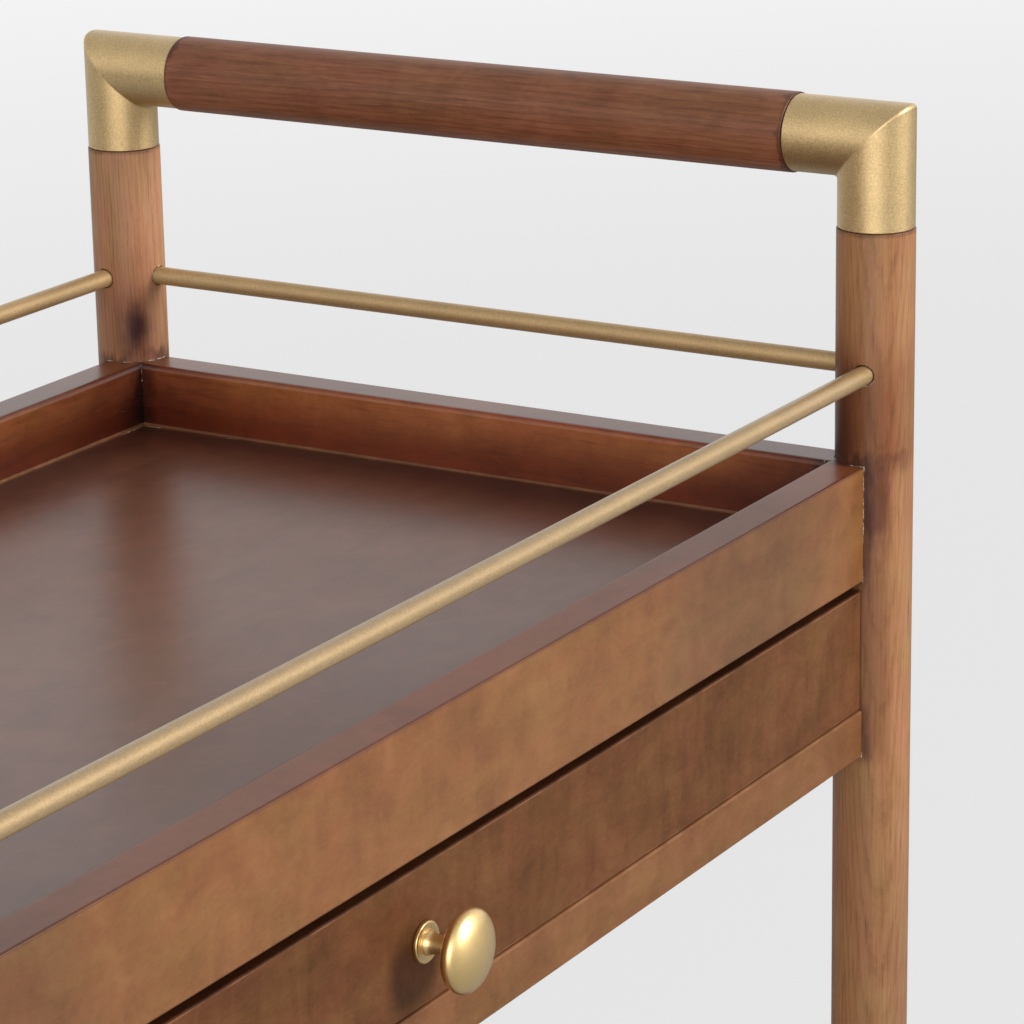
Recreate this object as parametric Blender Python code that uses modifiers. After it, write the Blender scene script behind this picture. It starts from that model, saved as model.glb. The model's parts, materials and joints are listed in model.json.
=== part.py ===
"""Serving cart: four round posts, a railed top tray with a drawer under it, a lower shelf and castors.

Metres, +Z up. X runs along the cart, the drawer faces -Y, and the floor is at Z = 0.
"""

import math

import bpy
import bmesh
from mathutils import Matrix

# Corner posts and the frame that they make
POST_DIAMETER = 0.032
POST_SPACING_LENGTH = 0.708
POST_SPACING_WIDTH = 0.371
RIM_HEIGHT = 0.673
CLEARANCE = 0.0003

# End handles and their elbow fittings, which are a little slimmer than the wood
HANDLE_DIAMETER = 0.0326
HANDLE_RISE = 0.131
ELBOW_LEG = 0.035
ELBOW_WALL = 0.002
ELBOW_STEP = 0.0003
ELBOW_TENON = 0.016

# Gallery rods above the tray; the long ones lie a little outside the posts' axes
ROD_DIAMETER = 0.008
ROD_RISE = 0.038
LONG_ROD_OUTSET = 0.0022
ROD_WEB = 0.002

# Boards of the top tray and its case
BOARD_THICKNESS = 0.018
BOARD_OUTSET = 0.003
APRON_HEIGHT = 0.0488
FRONT_RAIL_HEIGHT = 0.0203
TENON_THICKNESS = 0.006
TENON_OFFSET = 0.0015
TENON_SHOULDER = 0.005
TENON_WEB = 0.0015

# Tray floor and shelf panel, both held by a tongue in the boards
PANEL_THICKNESS = 0.009
TONGUE_THICKNESS = 0.004
TONGUE_DEPTH = 0.005
TRAY_DEPTH = 0.028
SHELF_RIM_HEIGHT = 0.215
SHELF_RAIL_HEIGHT = 0.040
SHELF_DEPTH = 0.018

# Drawer and its runners
DRAWER_TOP_GAP = 0.003
DRAWER_FRONT_HEIGHT = 0.0514
DRAWER_BOTTOM_GAP = 0.0008
DRAWER_END_GAP = 0.0012
DRAWER_SIDE_GAP = 0.0015
DRAWER_REAR_GAP = 0.010
DRAWER_SIDE_LIFT = 0.003
DRAWER_SIDE_HEIGHT = 0.042
DRAWER_SIDE_THICKNESS = 0.012
DRAWER_BOTTOM_LIFT = 0.004
DRAWER_BOTTOM_THICKNESS = 0.005
DRAWER_GROOVE_DEPTH = 0.004
RUNNER_HEIGHT = 0.010
RUNNER_BITE = 0.006
RUNNER_END_GAP = 0.004

# Knob and its screw, a little below the middle of the drawer front
KNOB_DROP = 0.0023
KNOB_DIAMETER = 0.030
KNOB_PROJECTION = 0.0232
KNOB_CROWN_DEPTH = 0.0058
KNOB_UNDERSIDE_DEPTH = 0.0058
KNOB_NECK_DIAMETER = 0.0085
KNOB_BASE_DIAMETER = 0.015
KNOB_BASE_DEPTH = 0.0014
KNOB_BASE_SLOPE = 0.001
SCREW_DIAMETER = 0.004
SCREW_HEAD_DIAMETER = 0.008
SCREW_HEAD_DEPTH = 0.0025
SCREW_REACH = 0.012

# Castors
WHEEL_DIAMETER = 0.050
TYRE_WIDTH = 0.018
TYRE_DEPTH = 0.006
TYRE_CHAMFER = 0.0015
HUB_BOSS_DIAMETER = 0.014
HUB_RIM_DEPTH = 0.004
HUB_WEB_THICKNESS = 0.006
CASTOR_TRAIL = 0.020
FORK_SHEET = 0.0025
FORK_SIDE_GAP = 0.003
FORK_CROWN_GAP = 0.005
FORK_CROWN_LENGTH = 0.028
FORK_CHEEK_DROP = 0.012
FORK_FOOT_RADIUS = 0.008
FOOT_ARC_START = 20
FOOT_ARC_SWEEP = 220
FOOT_ARC_STEPS = 8
AXLE_DIAMETER = 0.006
AXLE_HEAD_DIAMETER = 0.010
AXLE_HEAD_DEPTH = 0.002
STEM_DIAMETER = 0.010
STEM_LENGTH = 0.028
STEM_NECK_DIAMETER = 0.008
STEM_COLLAR_DIAMETER = 0.020
STEM_COLLAR_DEPTH = 0.003
STEM_RIVET_DIAMETER = 0.014
STEM_RIVET_DEPTH = 0.003
SOCKET_WALL = 0.002
SOCKET_FLANGE_DIAMETER = 0.027
SOCKET_FLANGE_DEPTH = 0.002

# Facets round a turned piece
COARSE_STEPS = 12
MEDIUM_STEPS = 16
FINE_STEPS = 24
CUT_MARGIN = 0.010
MERGE = 0.00001

# Places that follow from the sizes above
POST_RADIUS = POST_DIAMETER / 2
ELBOW_RADIUS = POST_RADIUS - ELBOW_STEP
BOARD_INSET = BOARD_THICKNESS - BOARD_OUTSET
HALF_LENGTH = POST_SPACING_LENGTH / 2
HALF_WIDTH = POST_SPACING_WIDTH / 2
HANDLE_Z = RIM_HEIGHT + HANDLE_RISE
ROD_Z = RIM_HEIGHT + ROD_RISE
ROD_END = ROD_DIAMETER / 2 + ROD_WEB
TENON_INNER = TENON_OFFSET + TENON_THICKNESS / 2
TENON_END = TENON_INNER + TENON_WEB
SHOULDER_Z = HANDLE_Z - ELBOW_LEG
ELBOW_BORE = ELBOW_RADIUS - ELBOW_WALL

DRAWER_FRONT_TOP = RIM_HEIGHT - APRON_HEIGHT - DRAWER_TOP_GAP
DRAWER_FRONT_BOTTOM = DRAWER_FRONT_TOP - DRAWER_FRONT_HEIGHT
FRONT_RAIL_TOP = DRAWER_FRONT_BOTTOM - DRAWER_BOTTOM_GAP
CASE_BOTTOM = FRONT_RAIL_TOP - FRONT_RAIL_HEIGHT
CASE_HALF_LENGTH = HALF_LENGTH - max(POST_RADIUS, BOARD_INSET)
DRAWER_HALF_LENGTH = CASE_HALF_LENGTH - DRAWER_SIDE_GAP
DRAWER_INNER_HALF = DRAWER_HALF_LENGTH - DRAWER_SIDE_THICKNESS
DRAWER_FACE_Y = -HALF_WIDTH - BOARD_OUTSET
DRAWER_BOX_FRONT = DRAWER_FACE_Y + BOARD_THICKNESS + CLEARANCE
DRAWER_BOX_BACK = HALF_WIDTH - BOARD_INSET - DRAWER_REAR_GAP
DRAWER_SIDE_BOTTOM = DRAWER_FRONT_BOTTOM + DRAWER_SIDE_LIFT
DRAWER_SIDE_TOP = DRAWER_SIDE_BOTTOM + DRAWER_SIDE_HEIGHT
DRAWER_PANEL_BOTTOM = DRAWER_SIDE_BOTTOM + DRAWER_BOTTOM_LIFT
DRAWER_PANEL_TOP = DRAWER_PANEL_BOTTOM + DRAWER_BOTTOM_THICKNESS
RUNNER_Z = (DRAWER_PANEL_TOP + DRAWER_SIDE_TOP) / 2
RUNNER_FRONT = -HALF_WIDTH + POST_RADIUS + RUNNER_END_GAP
RUNNER_BACK = HALF_WIDTH - POST_RADIUS - RUNNER_END_GAP
KNOB_Z = (DRAWER_FRONT_TOP + DRAWER_FRONT_BOTTOM) / 2 - KNOB_DROP

WHEEL_RADIUS = WHEEL_DIAMETER / 2
FORK_INNER = TYRE_WIDTH / 2 + FORK_SIDE_GAP
FORK_OUTER = FORK_INNER + FORK_SHEET
CROWN_BOTTOM = WHEEL_DIAMETER + FORK_CROWN_GAP
CROWN_TOP = CROWN_BOTTOM + FORK_SHEET
COLLAR_BOTTOM = CROWN_TOP + CLEARANCE
COLLAR_TOP = COLLAR_BOTTOM + STEM_COLLAR_DEPTH
FLANGE_BOTTOM = COLLAR_TOP + CLEARANCE
FLANGE_TOP = FLANGE_BOTTOM + SOCKET_FLANGE_DEPTH
POST_FOOT = FLANGE_TOP + CLEARANCE
STEM_TOP = COLLAR_TOP + STEM_LENGTH
SOCKET_BORE = STEM_DIAMETER / 2 + CLEARANCE
SOCKET_RADIUS = SOCKET_BORE + SOCKET_WALL

# The knob reaches further out than the posts behind, so the cart is shifted to stand centred on the origin
CENTRING_SHIFT = (BOARD_OUTSET + KNOB_PROJECTION + CLEARANCE - POST_RADIUS) / 2

# Which way each side and corner lies: name, turn about Z, and for corners the signs of X and Y
SIDES = {"front": 0.0, "right": 90.0, "back": 180.0, "left": -90.0}
CORNERS = {"front_left": (-1, -1), "front_right": (1, -1), "back_left": (-1, 1), "back_right": (1, 1)}

CASTOR_PIECES = ("socket", "stem", "fork", "axle", "wheel", "tyre")

# Finishes: colour, roughness and metallic value
FINISHES = {
    "walnut": ((0.29, 0.14, 0.07), 0.45, 0.0),
    "tray_walnut": ((0.19, 0.10, 0.06), 0.38, 0.0),
    "drawer_wood": ((0.55, 0.40, 0.26), 0.55, 0.0),
    "brass": ((0.62, 0.46, 0.22), 0.35, 1.0),
    "steel": ((0.60, 0.60, 0.60), 0.35, 1.0),
    "rubber": ((0.04, 0.04, 0.04), 0.80, 0.0),
}


def clear_scene():
    for thing in list(bpy.data.objects):
        bpy.data.objects.remove(thing, do_unlink=True)


def make_collection(name):
    collection = bpy.data.collections.new(name)
    bpy.context.scene.collection.children.link(collection)
    return collection


def make_materials():
    made = {}
    for name, (colour, roughness, metallic) in FINISHES.items():
        material = bpy.data.materials.new(name)
        material.use_nodes = True
        shader = material.node_tree.nodes["Principled BSDF"]
        shader.inputs["Base Color"].default_value = (*colour, 1.0)
        shader.inputs["Roughness"].default_value = roughness
        shader.inputs["Metallic"].default_value = metallic
        made[name] = material
    return made


clear_scene()
PARTS = make_collection("serving_cart")
CUTTERS = make_collection("cutters")
MATERIALS = make_materials()


def make_empty(name, parent=None, location=(0, 0, 0), turn=0.0):
    empty = bpy.data.objects.new(name, None)
    empty.location = location
    empty.rotation_euler.z = math.radians(turn)
    empty.parent = parent
    PARTS.objects.link(empty)
    return empty


CART = make_empty("cart", location=(0, CENTRING_SHIFT, 0))
DRAWER = make_empty("drawer_slide", CART)


def box_mesh(name, low, high):
    shape = bmesh.new()
    bmesh.ops.create_cube(shape, size=1.0)
    for vertex in shape.verts:
        for axis in range(3):
            vertex.co[axis] = low[axis] if vertex.co[axis] < 0 else high[axis]
    mesh = bpy.data.meshes.new(name)
    shape.to_mesh(mesh)
    shape.free()
    return mesh


def grown(low, high):
    """The corners of a box with clearance all round."""
    return [value - CLEARANCE for value in low], [value + CLEARANCE for value in high]


def cylinder_mesh(name, radius, low, high, steps):
    """A cylinder along local Z."""
    shape = bmesh.new()
    bmesh.ops.create_cone(
        shape, cap_ends=True, segments=steps, radius1=radius, radius2=radius, depth=high - low
    )
    bmesh.ops.translate(shape, verts=shape.verts, vec=(0, 0, (high + low) / 2))
    mesh = bpy.data.meshes.new(name)
    shape.to_mesh(mesh)
    shape.free()
    return mesh


def profile_mesh(name, points, closed):
    """Points (radius, height) of a turned shape, down its outer side."""
    mesh = bpy.data.meshes.new(name)
    count = len(points)
    edges = [(i, i + 1) for i in range(count - 1)]
    if closed:
        edges.append((count - 1, 0))
    mesh.from_pydata([(radius, 0, height) for radius, height in points], edges, [])
    return mesh


def add_part(name, mesh, material, parent=CART, location=(0, 0, 0), rotation=(0, 0, 0)):
    part = bpy.data.objects.new(name, mesh)
    part.parent = parent
    part.location = location
    part.rotation_euler = rotation
    part.data.materials.clear()
    part.data.materials.append(MATERIALS[material])
    PARTS.objects.link(part)
    return part


def add_screw(part, steps):
    screw = part.modifiers.new("turn", "SCREW")
    screw.steps = steps
    screw.render_steps = steps
    screw.use_merge_vertices = True
    screw.merge_threshold = MERGE
    screw.use_smooth_shade = True


def add_turned(
    name, points, steps, material, parent=CART, location=(0, 0, 0), rotation=(0, 0, 0), closed=False
):
    """A profile turned about local Z; a closed profile makes a ring."""
    part = add_part(name, profile_mesh(name, points, closed), material, parent, location, rotation)
    add_screw(part, steps)
    return part


def add_cutter(name, mesh, parent=CART, location=(0, 0, 0), rotation=(0, 0, 0)):
    cutter = bpy.data.objects.new(name, mesh)
    cutter.parent = parent
    cutter.location = location
    cutter.rotation_euler = rotation
    cutter.hide_render = True
    cutter.display_type = "WIRE"
    CUTTERS.objects.link(cutter)
    return cutter


def combine(part, other, operation):
    boolean = part.modifiers.new(f"{operation.lower()}_{other.name}", "BOOLEAN")
    boolean.operation = operation
    boolean.object = other


def cut(part, *others):
    for other in others:
        combine(part, other, "DIFFERENCE")


def join(part, other):
    combine(part, other, "UNION")


def baked_mesh(template):
    """The template's mesh with its modifiers applied; the template is removed."""
    bpy.context.view_layer.update()
    graph = bpy.context.evaluated_depsgraph_get()
    mesh = bpy.data.meshes.new_from_object(template.evaluated_get(graph))
    bpy.data.objects.remove(template, do_unlink=True)
    return mesh


def side_span(side):
    return POST_SPACING_LENGTH if side in ("front", "back") else POST_SPACING_WIDTH


def side_corners(side):
    return [corner for corner in CORNERS if side in corner.split("_")]


def make_side_frames():
    """One empty per side, midway between its posts: local X along the side, local Y inwards."""
    frames = {}
    for side, turn in SIDES.items():
        across = POST_SPACING_WIDTH if side in ("front", "back") else POST_SPACING_LENGTH
        outwards = math.radians(turn - 90)
        place = (across / 2 * math.cos(outwards), across / 2 * math.sin(outwards), 0)
        frames[side] = make_empty(f"side_{side}", CART, place, turn)
    return frames


SIDE_FRAMES = make_side_frames()


def corner_place(corner):
    along, across = CORNERS[corner]
    return (along * HALF_LENGTH, across * HALF_WIDTH, 0)


def make_posts():
    """Turned posts with a tenon for the elbow on top and a bore for the castor's socket below."""
    tenon_radius = ELBOW_BORE - CLEARANCE
    profile = [
        (0, SHOULDER_Z + ELBOW_TENON),
        (tenon_radius, SHOULDER_Z + ELBOW_TENON),
        (tenon_radius, SHOULDER_Z - CLEARANCE),
        (POST_RADIUS, SHOULDER_Z - CLEARANCE),
        (POST_RADIUS, POST_FOOT),
        (0, POST_FOOT),
    ]
    bore_top = STEM_TOP + CLEARANCE
    posts = {}
    for corner in CORNERS:
        post = add_turned(f"post_{corner}", profile, FINE_STEPS, "walnut", location=corner_place(corner))
        bore = cylinder_mesh(
            "socket_bore", SOCKET_RADIUS + CLEARANCE, POST_FOOT - CUT_MARGIN, bore_top, MEDIUM_STEPS
        )
        cut(post, add_cutter(f"cut_socket_{corner}", bore, location=corner_place(corner)))
        posts[corner] = post
    return posts


def make_post_cutters():
    """The posts' outlines with clearance, which cope the ends of the boards."""
    cutters = {}
    for corner in CORNERS:
        mesh = cylinder_mesh("cope", POST_RADIUS + CLEARANCE, 0, HANDLE_Z, FINE_STEPS)
        cutters[corner] = add_cutter(f"cope_{corner}", mesh, location=corner_place(corner))
    return cutters


POSTS = make_posts()
COPES = make_post_cutters()


def make_rods():
    along_x = (0, math.radians(90), 0)
    for side, frame in SIDE_FRAMES.items():
        outset = LONG_ROD_OUTSET if side in ("front", "back") else 0
        place = (0, -outset, ROD_Z)
        reach = side_span(side) / 2 - ROD_END
        rod = cylinder_mesh("rod", ROD_DIAMETER / 2, -reach, reach, COARSE_STEPS)
        add_part(f"gallery_rod_{side}", rod, "brass", frame, place, along_x)
        hole_reach = reach + CLEARANCE
        hole = cylinder_mesh("rod_hole", ROD_DIAMETER / 2 + CLEARANCE, -hole_reach, hole_reach, COARSE_STEPS)
        cutter = add_cutter(f"cut_rod_{side}", hole, frame, place, along_x)
        for corner in side_corners(side):
            cut(POSTS[corner], cutter)


def make_board(name, side, bottom, top):
    """A board mitred to its neighbours, coped round the posts and tenoned into them."""
    half = side_span(side) / 2
    frame = SIDE_FRAMES[side]
    outer = half + BOARD_OUTSET - CLEARANCE
    mesh = box_mesh(name, (-outer, -BOARD_OUTSET, bottom), (outer, BOARD_INSET, top))
    for vertex in mesh.vertices:
        if vertex.co.y > 0:
            vertex.co.x -= math.copysign(BOARD_THICKNESS, vertex.co.x)
    board = add_part(name, mesh, "walnut", frame)

    reach = half - TENON_END
    low = (-reach, TENON_OFFSET - TENON_THICKNESS / 2, bottom + TENON_SHOULDER)
    high = (reach, TENON_INNER, top - TENON_SHOULDER)
    tenon = add_cutter(f"tenon_{name}", box_mesh("tenon", low, high), frame)
    mortise = add_cutter(f"mortise_{name}", box_mesh("mortise", *grown(low, high)), frame)
    for corner in side_corners(side):
        cut(board, COPES[corner])
        cut(POSTS[corner], mortise)
    join(board, tenon)
    return board


def make_panel(name, top, boards, material):
    """A panel between four boards, with a tongue all round that sits in their grooves."""
    bottom = top - PANEL_THICKNESS
    field = (HALF_LENGTH - BOARD_INSET - CLEARANCE, HALF_WIDTH - BOARD_INSET - CLEARANCE)
    panel = add_part(name, box_mesh(name, (-field[0], -field[1], bottom), (*field, top)), material)
    grow = TONGUE_DEPTH + CLEARANCE
    low = (-field[0] - grow, -field[1] - grow, bottom + (PANEL_THICKNESS - TONGUE_THICKNESS) / 2)
    high = (field[0] + grow, field[1] + grow, low[2] + TONGUE_THICKNESS)
    join(panel, add_cutter(f"tongue_{name}", box_mesh("tongue", low, high)))
    cut(panel, *COPES.values())
    groove = add_cutter(f"groove_{name}", box_mesh("groove", *grown(low, high)))
    for board in boards:
        cut(board, groove)


def make_tray():
    boards = [make_board("apron_front", "front", RIM_HEIGHT - APRON_HEIGHT, RIM_HEIGHT)]
    for side in ("back", "left", "right"):
        boards.append(make_board(f"case_board_{side}", side, CASE_BOTTOM, RIM_HEIGHT))
    make_board("front_rail", "front", CASE_BOTTOM, FRONT_RAIL_TOP)
    make_panel("tray_floor", RIM_HEIGHT - TRAY_DEPTH, boards, "tray_walnut")


def make_shelf():
    boards = []
    for side in SIDES:
        bottom = SHELF_RIM_HEIGHT - SHELF_RAIL_HEIGHT
        boards.append(make_board(f"shelf_rail_{side}", side, bottom, SHELF_RIM_HEIGHT))
    make_panel("shelf_panel", SHELF_RIM_HEIGHT - SHELF_DEPTH, boards, "tray_walnut")


def elbow_mesh():
    """A tube turned about its axis and mirrored across the mitre, with its legs towards -Z and +X."""
    past_mitre = ELBOW_RADIUS + CUT_MARGIN
    profile = [
        (ELBOW_RADIUS, past_mitre),
        (ELBOW_RADIUS, -ELBOW_LEG),
        (ELBOW_BORE, -ELBOW_LEG),
        (ELBOW_BORE, past_mitre),
    ]
    template = add_turned("elbow", profile, FINE_STEPS, "brass", closed=True)
    plane = bpy.data.objects.new("mitre_plane", None)
    plane.rotation_euler.y = math.radians(-45)
    plane.location = CART.location
    CUTTERS.objects.link(plane)
    mirror = template.modifiers.new("mitre", "MIRROR")
    mirror.mirror_object = plane
    mirror.use_bisect_axis[0] = True
    mirror.use_bisect_flip_axis[0] = True
    mirror.merge_threshold = MERGE
    return baked_mesh(template)


def make_handles():
    """An elbow on each post, and a round handle with a tenon in each elbow."""
    elbow = elbow_mesh()
    half = POST_SPACING_WIDTH / 2
    wood_end = half - ELBOW_LEG - CLEARANCE
    tenon_end = half - ELBOW_LEG + ELBOW_TENON
    tenon_radius = ELBOW_BORE - CLEARANCE
    handle_radius = HANDLE_DIAMETER / 2
    profile = [
        (0, tenon_end),
        (tenon_radius, tenon_end),
        (tenon_radius, wood_end),
        (handle_radius, wood_end),
        (handle_radius, -wood_end),
        (tenon_radius, -wood_end),
        (tenon_radius, -tenon_end),
        (0, -tenon_end),
    ]
    for side in ("left", "right"):
        frame = SIDE_FRAMES[side]
        along_x = (0, math.radians(90), 0)
        add_turned(f"handle_{side}", profile, FINE_STEPS, "walnut", frame, (0, 0, HANDLE_Z), along_x)
    for corner, (_, across) in CORNERS.items():
        inwards = (0, 0, math.radians(-90 * across))
        place = (*corner_place(corner)[:2], HANDLE_Z)
        add_part(f"elbow_{corner}", elbow, "brass", location=place, rotation=inwards)


def make_runners():
    """Strips on the end boards that the drawer's grooved sides hang on."""
    grooves = {}
    for side, sign in (("left", -1), ("right", 1)):
        outer = HALF_LENGTH - BOARD_INSET - CLEARANCE
        inner = DRAWER_HALF_LENGTH - RUNNER_BITE
        ends = sorted((sign * inner, sign * outer))
        low = (ends[0], RUNNER_FRONT, RUNNER_Z - RUNNER_HEIGHT / 2)
        high = (ends[1], RUNNER_BACK, RUNNER_Z + RUNNER_HEIGHT / 2)
        add_part(f"drawer_runner_{side}", box_mesh("runner", low, high), "drawer_wood")
        low, high = grown(low, high)
        high[1] = DRAWER_BOX_BACK + CUT_MARGIN
        grooves[side] = add_cutter(f"runner_groove_{side}", box_mesh("runner_groove", low, high), DRAWER)
    return grooves


def make_drawer(runner_grooves):
    front_half = HALF_LENGTH - POST_RADIUS - DRAWER_END_GAP
    low = (-front_half, DRAWER_FACE_Y, DRAWER_FRONT_BOTTOM)
    high = (front_half, DRAWER_FACE_Y + BOARD_THICKNESS, DRAWER_FRONT_TOP)
    front = add_part("drawer_front", box_mesh("drawer_front", low, high), "walnut", DRAWER)

    reach = DRAWER_GROOVE_DEPTH - CLEARANCE
    low = (-DRAWER_INNER_HALF - reach, DRAWER_BOX_FRONT - CLEARANCE - reach, DRAWER_PANEL_BOTTOM)
    high = (DRAWER_INNER_HALF + reach, DRAWER_BOX_BACK, DRAWER_PANEL_TOP)
    add_part("drawer_bottom", box_mesh("drawer_bottom", low, high), "drawer_wood", DRAWER)
    low, high = grown(low, high)
    high[1] = DRAWER_BOX_BACK + CUT_MARGIN
    panel_groove = add_cutter("drawer_panel_groove", box_mesh("panel_groove", low, high), DRAWER)
    cut(front, panel_groove)

    for side, sign in (("left", -1), ("right", 1)):
        ends = sorted((sign * DRAWER_INNER_HALF, sign * DRAWER_HALF_LENGTH))
        low = (ends[0], DRAWER_BOX_FRONT, DRAWER_SIDE_BOTTOM)
        high = (ends[1], DRAWER_BOX_BACK, DRAWER_SIDE_TOP)
        name = f"drawer_side_{side}"
        board = add_part(name, box_mesh(name, low, high), "drawer_wood", DRAWER)
        cut(board, panel_groove, runner_grooves[side])

    inner = DRAWER_INNER_HALF - CLEARANCE
    low = (-inner, DRAWER_BOX_BACK - DRAWER_SIDE_THICKNESS, DRAWER_PANEL_TOP + CLEARANCE)
    high = (inner, DRAWER_BOX_BACK, DRAWER_SIDE_TOP)
    add_part("drawer_back", box_mesh("drawer_back", low, high), "drawer_wood", DRAWER)
    return front


def knob_profile():
    """Mushroom head, waisted neck and round base, with a blind bore for the screw."""
    head_radius = KNOB_DIAMETER / 2
    neck_radius = KNOB_NECK_DIAMETER / 2
    base_radius = KNOB_BASE_DIAMETER / 2
    widest = KNOB_PROJECTION - KNOB_CROWN_DEPTH
    bore_radius = SCREW_DIAMETER / 2 + CLEARANCE
    bore_end = SCREW_REACH + CLEARANCE
    points = [(0, KNOB_PROJECTION)]
    for angle in (72, 54, 36, 18, 0):
        turn = math.radians(angle)
        points.append((head_radius * math.cos(turn), widest + KNOB_CROWN_DEPTH * math.sin(turn)))
    for angle in (30, 60, 90):
        turn = math.radians(angle)
        radius = neck_radius + (head_radius - neck_radius) * math.cos(turn)
        points.append((radius, widest - KNOB_UNDERSIDE_DEPTH * math.sin(turn)))
    points += [
        (neck_radius, KNOB_BASE_DEPTH + KNOB_BASE_SLOPE),
        (base_radius, KNOB_BASE_DEPTH),
        (base_radius, 0),
        (bore_radius, 0),
        (bore_radius, bore_end),
        (0, bore_end),
    ]
    return points


def make_knob(drawer_front):
    """The knob midway along the drawer front, and the screw that holds it from inside."""
    outwards = (math.radians(90), 0, 0)
    face = (0, DRAWER_FACE_Y - CLEARANCE, KNOB_Z)
    add_turned("drawer_knob", knob_profile(), FINE_STEPS, "brass", DRAWER, face, outwards)
    inside = -(BOARD_THICKNESS + 2 * CLEARANCE)
    radius = SCREW_DIAMETER / 2
    profile = [
        (0, SCREW_REACH),
        (radius, SCREW_REACH),
        (radius, inside),
        (SCREW_HEAD_DIAMETER / 2, inside),
        (SCREW_HEAD_DIAMETER / 2, inside - SCREW_HEAD_DEPTH),
        (0, inside - SCREW_HEAD_DEPTH),
    ]
    add_turned("knob_screw", profile, COARSE_STEPS, "steel", DRAWER, face, outwards)
    hole = cylinder_mesh(
        "screw_hole", radius + CLEARANCE, -BOARD_THICKNESS - CUT_MARGIN, CUT_MARGIN, COARSE_STEPS
    )
    cut(drawer_front, add_cutter("cut_knob_screw", hole, DRAWER, face, outwards))


def fork_outline():
    """A fork cheek seen from the side: (along the trail, height), down to a round foot at the axle."""
    half_crown = FORK_CROWN_LENGTH / 2
    points = [(-half_crown, CROWN_TOP - FORK_CHEEK_DROP), (-half_crown, CROWN_TOP), (half_crown, CROWN_TOP)]
    for step in range(FOOT_ARC_STEPS + 1):
        turn = math.radians(FOOT_ARC_START - FOOT_ARC_SWEEP * step / FOOT_ARC_STEPS)
        along = CASTOR_TRAIL + FORK_FOOT_RADIUS * math.cos(turn)
        points.append((along, WHEEL_RADIUS + FORK_FOOT_RADIUS * math.sin(turn)))
    return points


def extruded_mesh(name, outline, half_thickness):
    """A flat outline given in X and Z, thickened along Y."""
    curve = bpy.data.curves.new(name, "CURVE")
    curve.dimensions = "2D"
    curve.fill_mode = "BOTH"
    curve.extrude = half_thickness
    spline = curve.splines.new("POLY")
    spline.points.add(len(outline) - 1)
    for point, (along, height) in zip(spline.points, outline):
        point.co = (along, height, 0, 1)
    spline.use_cyclic_u = True
    template = bpy.data.objects.new(name, curve)
    CUTTERS.objects.link(template)
    mesh = baked_mesh(template)
    shape = bmesh.new()
    shape.from_mesh(mesh)
    bmesh.ops.remove_doubles(shape, verts=shape.verts, dist=MERGE)
    shape.to_mesh(mesh)
    shape.free()
    mesh.transform(Matrix.Rotation(math.radians(90), 4, "X"))
    return mesh


def fork_mesh():
    """The cheek outline as thick as the fork, hollowed for the wheel and bored for stem and axle."""
    template = add_part("fork", extruded_mesh("fork", fork_outline(), FORK_OUTER), "brass", None)
    past_ends = FORK_CROWN_LENGTH + CASTOR_TRAIL + FORK_FOOT_RADIUS
    hollow = box_mesh(
        "wheel_hollow", (-past_ends, -FORK_INNER, -past_ends), (past_ends, FORK_INNER, CROWN_BOTTOM)
    )
    neck_radius = STEM_NECK_DIAMETER / 2 + CLEARANCE
    neck = cylinder_mesh(
        "neck_hole", neck_radius, CROWN_BOTTOM - CUT_MARGIN, CROWN_TOP + CUT_MARGIN, COARSE_STEPS
    )
    reach = FORK_OUTER + CUT_MARGIN
    axle = cylinder_mesh("axle_hole", AXLE_DIAMETER / 2 + CLEARANCE, -reach, reach, COARSE_STEPS)
    across = (math.radians(90), 0, 0)
    cut(
        template,
        add_cutter("cut_wheel_hollow", hollow, None),
        add_cutter("cut_neck", neck, None),
        add_cutter("cut_axle", axle, None, (CASTOR_TRAIL, 0, WHEEL_RADIUS), across),
    )
    return baked_mesh(template)


def stem_profile():
    neck_bottom = CROWN_BOTTOM - CLEARANCE
    return [
        (0, STEM_TOP),
        (STEM_DIAMETER / 2, STEM_TOP),
        (STEM_DIAMETER / 2, COLLAR_TOP),
        (STEM_COLLAR_DIAMETER / 2, COLLAR_TOP),
        (STEM_COLLAR_DIAMETER / 2, COLLAR_BOTTOM),
        (STEM_NECK_DIAMETER / 2, COLLAR_BOTTOM),
        (STEM_NECK_DIAMETER / 2, neck_bottom),
        (STEM_RIVET_DIAMETER / 2, neck_bottom),
        (STEM_RIVET_DIAMETER / 2, neck_bottom - STEM_RIVET_DEPTH),
        (0, neck_bottom - STEM_RIVET_DEPTH),
    ]


def socket_profile():
    flange_radius = SOCKET_FLANGE_DIAMETER / 2
    return [
        (SOCKET_RADIUS, STEM_TOP),
        (SOCKET_RADIUS, FLANGE_TOP),
        (flange_radius, FLANGE_TOP),
        (flange_radius, FLANGE_BOTTOM),
        (SOCKET_BORE, FLANGE_BOTTOM),
        (SOCKET_BORE, STEM_TOP),
    ]


def mirrored(upper):
    """The lower half of a turned profile that is the same above and below."""
    return [(radius, -height) for radius, height in reversed(upper)]


def axle_profile():
    neck = FORK_OUTER + CLEARANCE
    end = neck + AXLE_HEAD_DEPTH
    head = AXLE_HEAD_DIAMETER / 2
    pin = AXLE_DIAMETER / 2
    upper = [(0, end), (head, end), (head, neck), (pin, neck)]
    return upper + mirrored(upper)


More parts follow.
